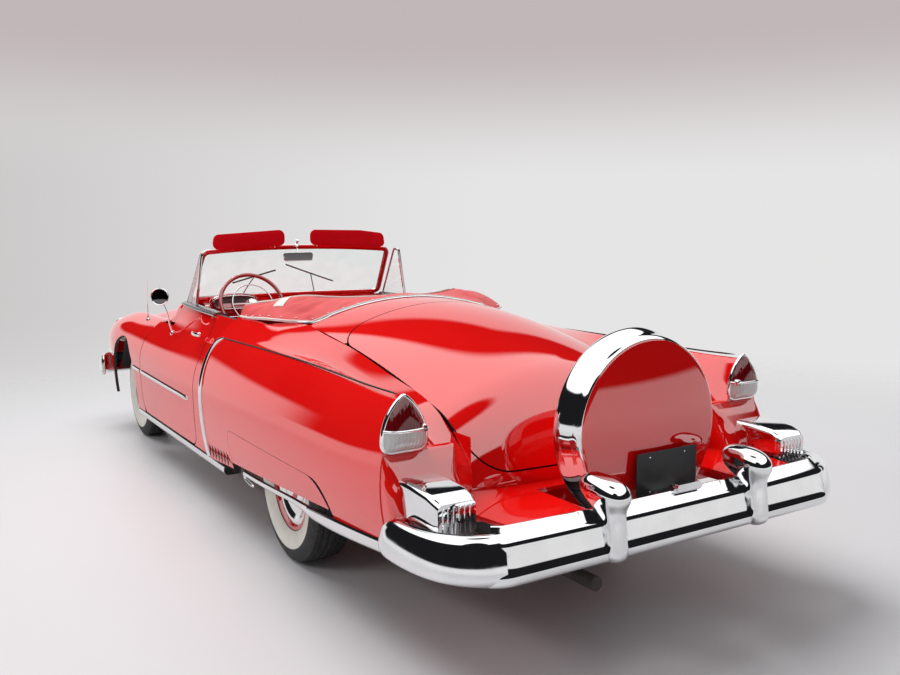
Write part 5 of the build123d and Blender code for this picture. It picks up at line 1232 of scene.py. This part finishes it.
head = loftRings([roundBox(m["y"], m["z"], m["width"] - i, m["height"] - i, 22 - i / 4, m["x"] + dx) for dx,
        i in ((0, 5), (2, 1), (6, 0), (13, 5), (19, 24))])
stalk = sweepStrip(smoothLoop([(704, 34, 1402), (720, 28, 1426), (750, 20, 1450), (782, 16, 1466)], 18, False),
        [(0, 1, 0)] * 18, tube(4.5))
latch = lathe([(-8, 16), (4, 15), (9, 8), (20, 7), (30, 13), (38, 12), (42, 6), (43, 0)], (762, 18, 1474), (-0.45, 0, 0.893), 28)
solid("mirrorStalk", *joined([head, stalk, latch]), "chrome", "body", 40, ["rear_view_mirror"])
pane = loftRings([roundBox(m["y"], m["z"], m["width"] - i, m["height"] - i, 19, m["x"] + dx) for dx, i in ((0.5, 9), (-0.9, 10))])
solid("mirrorGlass", *pane, "mirror", "body", 30)

# vent windows on the doors
ventShape = {"start": (958, 741, 1086), "along": (-1, 0.08, 0), "lean": (0, -0.15, 1),
        "outline": [(0, 0), (262, 352), (320, 352), (320, 0)], "bar": 9}
corner, along, lean = (np.array(ventShape[k], float) for k in ("start", "along", "lean"))
ventOut = np.cross(lean, along) / np.linalg.norm(np.cross(lean, along))
ventOut = ventOut * np.sign(ventOut[1])
middle = np.array([228, 165.0])
loop = even(middle + (rounded(ventShape["outline"], 12) - middle) * [0.965, 0.965], 8)
path = np.array([corner + along * u + lean * v for u, v in loop])
verts, faces = sweepStrip(path, [ventOut] * len(path), oval(ventShape["bar"], 8, 14), True)
post = [corner + along * 318 + lean * v for v in (-4, 60, 200, 345)]
verts, faces = joined([(verts, faces), sweepStrip(post, [ventOut] * 4, [(6, -9), (6, 9), (-6, 9), (-6, -9)])])
solidPair("ventFrame", verts, faces, "chrome", ("door_left", "door_right"), 40, ("vent_window_left", "vent_window_right"))
verts, faces = loftRings([path + ventOut * d for d in (-2.4, 2.4)])
solidPair("ventGlass", verts, faces, "glass", ("door_left", "door_right"), 30)

# sun visors: soft pads with a sewn edge, formed by vertex moves
visorShape = {"x": 714, "deep": 7.6, "left": [(624, 1452), (610, 1546), (126, 1577), (124, 1474), (400, 1456)],
              "right": [(-64, 1474), (-66, 1575), (-450, 1568), (-630, 1546), (-640, 1466), (-602, 1448), (-330, 1460)]}
parts, rods = [], []
for key in ("left", "right"):
    edge = rounded(visorShape[key], 38)
    low, high = edge.min(0) - 4, edge.max(0) + 4
    ys, zs = np.meshgrid(span(low[0], high[0], 5.5), span(low[1], high[1], 5.5), indexing="ij")
    deep = insideBy(edge, ys, zs)
    crown = np.sqrt(np.clip(1 - (1 - np.clip(deep, 0, 30) / 30) ** 2, 0, 1))
    seam = 1 - 0.34 * np.exp(-((deep - 11) / 3.0) ** 2)          # sewn line inside the edge
    puff = visorShape["deep"] * crown * seam * (1 + 0.05 * np.sin(ys / 37) * np.sin(zs / 23))
    front = np.stack([visorShape["x"] - puff, ys, zs], 2)
    back = np.stack([visorShape["x"] + puff, ys, zs], 2)
    parts.append(trimShell(front, back, deep, (-1, 0, 0)))
    welt = even(edge, 7)
    parts.append(sweepStrip([(visorShape["x"], y, z) for y, z in welt], [(-1, 0, 0)] * len(welt), tube(2.6, 8), True))
    for y in (edge[:, 0].min() + 60, edge[:, 0].max() - 60):
        rods.append(sweepStrip([(740, y, 1462), (728, y, 1470), (718, y, 1482)], [(0, 1, 0)] * 3, tube(5)))
visors = solid("visorPads", *joined(parts), "visor", "body", 60, ["sun_visors"])
solid("visorRods", *joined(rods), "chrome", "body", 40)
print("screen and visors made")


# seats: pleated cushions with crowned ends, formed by vertex moves
def seatPad(profile, half, face, turn=40, pitch=64, pleat=8, cleft=0):
    line = even(rounded(profile, turn), 15)
    run = np.roll(line, -1, 0) - np.roll(line, 1, 0)
    run /= np.linalg.norm(run, axis=1, keepdims=True)
    out = np.stack([run[:, 1], -run[:, 0]], 1)
    out *= np.sign(((line - line.mean(0)) * out).sum())
    sewn = np.clip((out @ np.array(face) - 0.3) / 0.45, 0, 1)
    rings = []
    ends = half - 36 * (1 - np.cos(np.linspace(0, math.pi / 2, 9)))
    ys = np.concatenate([-ends[:-1], np.linspace(-(half - 36), half - 36, int(half / 4.2)), ends[::-1][1:]])
    for y in ys:
        over = np.clip((abs(y) - (half - 36)) / 36, 0, 1)
        pull = 34 * (1 - math.sqrt(max(0.0, 1 - over ** 2)))
        inset = np.clip((half - 120 - abs(y)) / 14, 0, 1) * np.clip((abs(y) - 44) / 14, 0, 1)
        groove = (abs(math.sin(math.pi * y / pitch)) ** 0.55 - 1) * inset
        border = -5 * math.exp(-((abs(y) - (half - 116)) / 7) ** 2) - 5 * math.exp(-((abs(y) - 40) / 7) ** 2)
        swell = 5 * math.sin(math.pi * (abs(y) / half)) - 5
        move = -pull + sewn * (pleat * groove + border + swell) - cleft * math.exp(-(y / 8) ** 2)
        rings.append(np.stack([line[:, 0] + out[:, 0] * move, np.full(len(line), y), line[:, 1] + out[:, 1] * move], 1))
    return loftRings(rings)


seatShape = {"front": {"half": 639, "cushion": [(594, 364), (608, 530), (546, 590), (200, 546), (160, 364)],
        "back": [(196, 512), (86, 1028), (2, 1052), (-58, 1000), (-4, 366), (140, 366)]},
             "rear": {"half": 668, "cushion": [(-196, 364), (-183, 556), (-250, 602), (-505, 566), (-540, 364)],
                     "back": [(-512, 520), (-556, 955), (-626, 958), (-626, 366), (-530, 366)]}}
for key, node, cleft in (("front", "front_seat", 12), ("rear", "rear_seat", 0)):
    s = seatShape[key]
    verts, faces = joined([seatPad(s["cushion"], s["half"], (0.1, 1)), seatPad(s["back"], s["half"] - 2, (1, 0.25), cleft=cleft)])
    solid(key + "Bench", verts, faces, "hide", "body", 60, [node])

# door cards with sewn channels and a bright strip
cardShape = {"front": 1318, "rear": 196, "low": 430, "high": 1020, "turn": 60, "pitch": 56}
c = cardShape
xs, zs = span(c["rear"] - 6, c["front"] + 6, 7), span(c["low"] - 6, c["high"] + 6, 12)
lines = sideGrid(doorRows, xs, 58, bodySoft["door"])
card = np.array([[(x, float(np.interp(z, line[::-1, 2], line[::-1, 1])), z) for z in zs] for x, line in zip(xs, lines)])
edge = rounded([(c["rear"], c["low"]), (c["front"], c["low"]), (c["front"], 900), (940, c["high"]), (c["rear"], c["high"])],
        c["turn"])
deep = insideBy(edge, card[:, :, 0], card[:, :, 2])
puff = 3 + 4 * np.clip(deep / 20, 0, 1) ** 0.5 - 3 * (np.abs(np.sin(np.pi * card[:, :, 0] / c["pitch"])) < 0.16) * (card[:, :,
        2] < 800) * (deep > 40)
verts, faces = trimShell(card - puff[:, :, None] * [0, 1, 0], card + [0, 1.0, 0], deep, (0, -1, 0))
for obj in bothSides("doorCard", verts, faces, "hide", ("door_left", "door_right"), 50):
    fixNormals(obj)
strip = np.array([(x, float(np.interp(812, line[::-1, 2], line[::-1, 1])) - 6, 812) for x,
        line in zip(xs, lines) if c["rear"] + 14 < x < c["front"] - 14])
pull = [(x, float(np.interp(860, lines[60][::-1, 2], lines[60][::-1, 1])) - 22 - 18 * math.sin(math.pi * k / 19), 862) for k,
        x in enumerate(np.linspace(560, 800, 20))]
verts, faces = joined([sweepStrip(strip, [(0, -1, 0)] * len(strip), bead(20, 5)), sweepStrip(pull, [(0, 0, 1)] * 20, tube(8)),
                       lathe([(-6, 20), (8, 18), (14, 8), (40, 7), (44, 0)],
                               (1010, float(np.interp(780, lines[110][::-1, 2], lines[110][::-1, 1])), 780), (0, -1, 0), 24)])
solidPair("cardTrim", verts, faces, "chrome", ("door_left", "door_right"), 50)

# dash: hooded cluster, bright strip, knobs, horn ring
dashShape = {"podY": 455, "strip": 992}
d = dashShape


def podRing(x, half, top, low, count=40):
    return np.array([(x, d["podY"] + half * math.copysign(abs(math.cos(a)) ** 0.7, math.cos(a)),
            (top + low) / 2 + (top - low) / 2 * math.copysign(abs(math.sin(a)) ** 0.8, math.sin(a)))
                     for a in np.linspace(0, 2 * math.pi, count, False)])


pod = loftRings([podRing(x, h, t2, l) for x, h, t2, l in ((836, 140, 1132, 1056), (812, 148, 1140, 1048), (806, 156, 1147,
        1042), (812, 160, 1151, 1040), (860, 160, 1152, 1036), (920, 152, 1138, 1030), (968, 130, 1112, 1020))])
solid("clusterPod", *pod, "dashPaint", "body", 50)
solid("clusterDial", *loftRings([podRing(x, h, t2, l) for x, h, t2,
        l in ((834, 139, 1131, 1057), (829, 139, 1131, 1057), (827, 136, 1128, 1060))]), "dial", "body", 40)
rim = podRing(808, 146, 1138, 1050, 60)
ticks = [sweepStrip([(825.5, d["podY"] + 118 * math.cos(a), 1070 + 46 * math.sin(a)),
        (825.5, d["podY"] + 100 * math.cos(a), 1070 + 37 * math.sin(a))], [(-1, 0, 0)] * 2, bead(3,
        2)) for a in np.linspace(0.15, math.pi - 0.15, 17)]
dashLine = [(809, y, d["strip"]) for y in np.linspace(-600, 600, 40)]
verts, faces = joined([sweepStrip(rim, [(-1, 0, 0)] * 60, tube(5), True), sweepStrip(dashLine, [(-1, 0, 0)] * 40, bead(18, 6)),
        *ticks])
solid("dashTrim", verts, faces, "chrome", "body", 50)
repeatAlong("dashKnobs", [(802, y, 940) for y in (250, 0, -250)], (26, 22, 22), (0, 0, 0), 7, "chrome", "body")
columnAxis = np.array([-math.cos(math.radians(26)), 0, math.sin(math.radians(26))])
hornAt = np.array([640, 392, 1088.0]) + columnAxis * 12
turnU, turnV = np.array([0, 1.0, 0]), np.cross(columnAxis, [0, 1.0, 0])
ringPath = [hornAt + 136 * (turnU * math.cos(a) + turnV * math.sin(a)) for a in np.linspace(0, 2 * math.pi, 72, False)]
hub = lathe([(-20, 30), (2, 34), (14, 30), (22, 18), (25, 0)], hornAt, columnAxis, 36)
arms = [sweepStrip([hornAt + 28 * w, hornAt + 80 * w, hornAt + 134 * w], [columnAxis] * 3, tube(4, 8)) for w in (turnU, -turnU)]
solid("hornRing", *joined([sweepStrip(ringPath, [columnAxis] * 72, tube(4, 10), True), hub, *arms]), "chrome", "steering_wheel", 50)
print("cabin made")

# front end: wing noses round the lamps, lamp rings and lenses, bumper with two bullets
noseShape = {"x": 2780, "lampY": 768, "lampZ": 764, "ring": 104, "dome": 20, "bulletY": 360}
section = sideGrid(fenderRows, [noseShape["x"]], 0, bodySoft["fender"])[0][:, 1:]
outline = even(np.concatenate([section, [(604, 430)]]), 9)
lampC = np.array([noseShape["lampY"], noseShape["lampZ"]])
rings = []
for k in np.linspace(0, 1, 16):
    reach = np.linalg.norm(outline - lampC, axis=1, keepdims=True)
    ring = lampC + (outline - lampC) * (1 - k + k * (noseShape["ring"] - 3) / reach)
    rings.append(np.concatenate([np.full((len(ring), 1), noseShape["x"] + noseShape["dome"] * math.sin(k * math.pi / 2) ** 0.8),
            ring], 1))
verts, faces = loftRings(rings, False)
solidPair("wingNose", verts, faces, "paint", ("body", "body"), 60)
capYs = np.linspace(-596, 596, 90)
hoodLip = lambda y: float(midOf(2775)) + (float(edgeOf(2775)) - float(midOf(2775))) * (y / (hoodSide(2775) - 7)) ** 2
cap = np.array([[(2785 + 11 * math.sin(math.pi * min(1, 0.25 + 0.75 * k)) - 3 * k ** 4, y,
        800 + (hoodLip(y) + 4 - 800) * k) for k in np.linspace(0, 1, 16)] for y in capYs])
verts, faces = wholeShell(cap, cap - [8, 0, 2], (1, 0, 0))
solid("noseCap", verts, faces, "paint", "body", 50)
lip = [(2792, y, 803) for y in np.linspace(-590, 590, 60)]
solid("noseStrip", *sweepStrip(lip, [(1, 0, 0)] * 60, bead(22, 8)), "chrome", "body", 50)
lampPlace = (0, noseShape["lampY"], noseShape["lampZ"])
rim = [(2784, 92), (2790, 103.5), (2806, 104), (2816, 101), (2819, 95), (2815, 90), (2800, 90), (2784, 92)]
bulb = [(2792, 0), (2792, 91), (2806, 90), (2815, 76), (2822, 50), (2825.5, 22), (2826, 0)]
solid("lampRings", *pairOf([lathe(rim, lampPlace, (1, 0, 0), 72)]), "chrome", "body", 40, ["headlamps"])
solid("headLens", *pairOf([lathe(bulb, lampPlace, (1, 0, 0), 72)]), "clearLens", "body", 40)
frontPlan = [(2566, 1004), (2650, 1001), (2724, 978), (2778, 930), (2806, 860), (2820, 740), (2828, 500), (2832, 200), (2833, 0)]
plan = smoothLoop(frontPlan + [(x, -y) for x, y in frontPlan[-2::-1]], 180, False)
along = np.abs(np.linspace(-1, 1, 180))
ease = np.sqrt(np.clip(1 - ((along - 0.95) / 0.05).clip(0, 1) ** 2, 0.01, 1))
bar = bentBar(plan, wingSection * [0.6, 1], 160, 412 + 20 * (1 - ease), 588 - 14 * along - 30 * (1 - ease), 0.4 + 0.6 * ease)
bullets = [lathe([(2790, 60), (2800, 84), (2812, 87.5), (2830, 84), (2850, 75), (2872, 60), (2892, 40), (2904, 20),
        (2909.5, 0)], (0, side * noseShape["bulletY"], 560), (1, 0, 0), 64) for side in (1, -1)]
solid("frontBumper", *joined([bar, *bullets]), "chrome", "body", 50, ["front_bumper"])
backing = loftRings([roundBox(0, 570, 1150, 236, 20, x) for x in (2738, 2742)])
solid("grilleShade", *backing, "gap", "body", 30)

# inner sheets beside and over the front wheels
house = loftRings([np.array([(x, y, z) for x, z in rounded([(1596, 330), (1596, 846), (2452, 800), (2452, 330)],
        60)]) for y in (440, 446)])
roofTurn = np.radians(np.linspace(16, 164, 48))
roof = loftRings([np.array([(axles["front"] + r * math.cos(a), y, axles["height"] + r * math.sin(a)) for r,
        row in ((446, roofTurn), (450, roofTurn[::-1])) for a in row]) for y in (443, 880)])
solid("wheelHouses", *pairOf([house, roof]), "frameBlack", "body", 30)

# side boards of the trunk, between the load floor and the rear wheels
boardShape = {"y": 604, "thick": 4, "low": 575, "under": 55}
rings = []
for x in np.linspace(-640, -2080, 60):
    high = float(np.interp(-x, -edgeLine[:, 0], edgeLine[:, 1])) - boardShape["under"]
    rings.append(np.array([(x, boardShape["y"] + d, z) for d,
            z in ((0, boardShape["low"]), (boardShape["thick"], boardShape["low"]), (boardShape["thick"], high), (0, high))]))
solid("trunkBoards", *pairOf([loftRings(rings)]), "carpet", "body", 30)

# aerial and door mirror
rod = lathe([(-6, 15), (4, 14), (10, 8), (24, 5), (30, 2.4), (180, 2.0), (292, 1.4), (294, 3), (298, 3), (300, 0)],
        (1600, 850, 941), (-0.08, 0, 0.9968), 20)
solid("aerial", *rod, "chrome", "body", 40)
faceWay = np.array([-0.955, 0.28, 0.10]) / np.linalg.norm([-0.955, 0.28, 0.10])
glassAt = np.array([898, 930, 1149.0]) + faceWay * 6
head = lathe([(3, 50), (5, 54), (2, 57), (-4, 56.5), (-12, 46), (-19, 28), (-22, 0)], glassAt, faceWay, 56)
foot = np.array(skinAt(*doorSide, 905, 905)[0])
stalk = sweepStrip(smoothLoop([foot + [0, -4, 0], foot + [0, 10, 40], (906, 884, 1030), (912, 912, 1110), (912, 926, 1140)], 30,
        False), [(1, 0, 0)] * 30, tube(5.5))
base = lathe([(-4, 20), (4, 19), (10, 10), (14, 0)], foot, (0, 0.9, 0.43), 24)
solid("doorMirror", *joined([head, stalk, base]), "chrome", "door_left", 40, ["side_mirror"])
solid("doorMirrorGlass", *lathe([(2, 0), (2, 50.5), (3.4, 50), (6.4, 32), (8, 14), (8.4, 0)], glassAt, faceWay, 48), "mirror",
        "door_left", 30)
print("front end made")

# plain finishes for the nodes that stay
keepLooks = {
    "chrome": ["grille"],
    "rocker": ["sills"],
    "paint": ["nose_panel", "splash_pan"],
    "frameBlack": ["chassis_frame", "knuckle_left", "knuckle_right", "front_suspension", "rear_axle", "fuel_tank", "radiator"],
    "engineIron": ["engine"], "pipeSteel": ["exhaust"], "carpet": ["floor_pan"],
    "dashPaint": ["dashboard", "steering_column"], "wheelRed": ["steering_wheel"], "glass": ["windshield_glass"],
}
for look, names in keepLooks.items():
    for node in names:
        if node in nodes:
            nodes[node].data.materials.clear()
            nodes[node].data.materials.append(finish[look])


# camera from the photo's fit
shot = {"place": (-5.0639, 2.3767, 1.5374), "yaw": -31.709, "pitch": -6.657, "roll": -0.676, "lens": 35.557}
yaw, pitch, roll = (math.radians(shot[k]) for k in ("yaw", "pitch", "roll"))
ahead = Vector((math.cos(pitch) * math.cos(yaw), math.cos(pitch) * math.sin(yaw), math.sin(pitch)))
right = ahead.cross(Vector((0, 0, 1))).normalized()
up = right.cross(ahead)
right, up = math.cos(roll) * right + math.sin(roll) * up, math.cos(roll) * up - math.sin(roll) * right
camData = bpy.data.cameras.new("photoCamera")
camData.lens, camData.sensor_width, camData.clip_end = shot["lens"], 36.0, 200.0
camera = bpy.data.objects.new("photoCamera", camData)
scene.collection.objects.link(camera)
camera.matrix_world = Matrix(((right.x, up.x, -ahead.x, shot["place"][0]), (right.y, up.y, -ahead.y, shot["place"][1]),
                              (right.z, up.z, -ahead.z, shot["place"][2]), (0, 0, 0, 1)))
scene.camera = camera


# studio
def lamp(name, place, aim, size, watts, colour=(1, 1, 1)):
    data = bpy.data.lights.new(name, "AREA")
    data.shape, data.size, data.size_y, data.energy, data.color = "RECTANGLE", size[0], size[1], watts, colour
    obj = bpy.data.objects.new(name, data)
    scene.collection.objects.link(obj)
    obj.location = place
    obj.rotation_euler = (Vector(aim) - Vector(place)).to_track_quat("-Z", "Y").to_euler()
    return obj


overhead = lamp("overheadBox", (1.2, 0.6, 5.5), (-0.4, 0.0, 0), (5.0, 1.6), 90)
overhead.visible_glossy = False                    # the room stands in for it in reflections
sideLamp = lamp("leftBox", (-1.2, 6.5, 4.2), (-1.0, 0.4, 0.6), (3.2, 0.9), 70)
sideLamp.visible_glossy = False
sunData = bpy.data.lights.new("broadLight", "SUN")
sunData.energy, sunData.angle = 2.1, math.radians(42)
sun = bpy.data.objects.new("broadLight", sunData)
scene.collection.objects.link(sun)
sun.visible_glossy = False
sun.rotation_euler = Vector((-0.58, -0.12, -0.80)).to_track_quat("-Z", "Y").to_euler()

world = bpy.data.worlds.new("studio")
scene.world = world
world.use_nodes = True
tree = world.node_tree
back = tree.nodes["Background"]


class Sky(Finish):                                 # the same node helpers on the world's tree
    def __init__(self, tree):
        self.tree = tree


sky = Sky(tree)
way = sky.node("SeparateXYZ", None, {"Vector": sky.node("TexCoord").outputs["Generated"]})
wx, wy, wz = (sky.wire(way.outputs[k]) for k in range(3))
toWall = wx * 0.851 - wy * 0.525                  # 1 toward the backdrop
sideways = wx * -0.526 - wy * 0.851               # 1 to the right of the view
rays = sky.node("LightPath")
camera1, mirror1, through1 = (sky.wire(rays.outputs["Is %s Ray" % k]) for k in ("Camera", "Glossy", "Transmission"))
seen = sky.wire(sky.node("Math", {"operation": "MINIMUM"}, {0: camera1 + mirror1 + through1, 1: 1.0}).outputs[0])
# backdrop seen by the camera: pale at the horizon, with painted shade higher up and on the left
wall = sky.mix(sky.step(wz, 0.05, 0.21), (0.79, 0.785, 0.785), (0.53, 0.47, 0.475))
wall = sky.mix((1 - sky.step(sideways, -0.75, 0.1)) * (1 - sky.step(wz, 0.05, 0.2)) * sky.step(wz, -0.24, -0.07), wall,
        (0.53, 0.51, 0.51))
wallTop = sky.step(sideways, -0.64, -0.28) * 0.39 + 0.12 - sky.step(sideways, 0.08,
        0.3) * 0.2      # the lit backdrop stands higher straight ahead
lit = sky.step(toWall, 0.50, 0.58) * (1 - sky.step(wz - wallTop, -0.02, 0.03))
low = 1 - sky.step(wz, -0.03, 0.0)
bowed = sky.wire(sky.node("Math", {"operation": "MINIMUM"}, {0: (sideways + 0.05) * (sideways + 0.05) * 2.2, 1: 0.2}).outputs[0])
ceiling = sky.step(wz + bowed, 0.725, 0.765) * (1 - sky.step(wz, 0.975, 0.99))      # wide soft box overhead
bright = sky.wire(sky.node("Math", {"operation": "MAXIMUM"}, {0: lit, 1: low}).outputs[0])
room = sky.mix(ceiling, sky.mix(bright, (0.012, 0.012, 0.014), (0.86, 0.85, 0.85)), (1.60, 1.59, 1.59))
sky.plug(back, {"Color": sky.mix(seen, (0.36, 0.36, 0.37), sky.mix(camera1, room, wall)), "Strength": 1.0})

floorMesh = bpy.data.meshes.new("studioFloor")
floorMesh.from_pydata([(-40, -40, 0), (40, -40, 0), (40, 40, 0), (-40, 40, 0)], [], [(0, 1, 2, 3)])
floor = bpy.data.objects.new("studioFloor", floorMesh)
scene.collection.objects.link(floor)
f = Finish("paleFloor", Roughness=0.4, Specular_IOR_Level=0.3)
f.feed(Base_Color=f.mix(f.noise(0.6, 3), (0.70, 0.695, 0.705), (0.67, 0.665, 0.675)))
fx, fy, fz = f.axes()
far = f.step(((fx + 0.6) * (fx + 0.6) + fy * fy) ** 0.5, 3.4, 7.5)      # the floor runs into the backdrop
clear = f.node("BsdfTransparent")
fade = f.node("MixShader", None, {0: far, 1: f.shader.outputs[0], 2: clear.outputs[0]})
f.tree.links.new(fade.outputs[0], f.tree.nodes["Material Output"].inputs["Surface"])
floorMesh.materials.append(f.mat)

scene.view_settings.view_transform = "Standard"
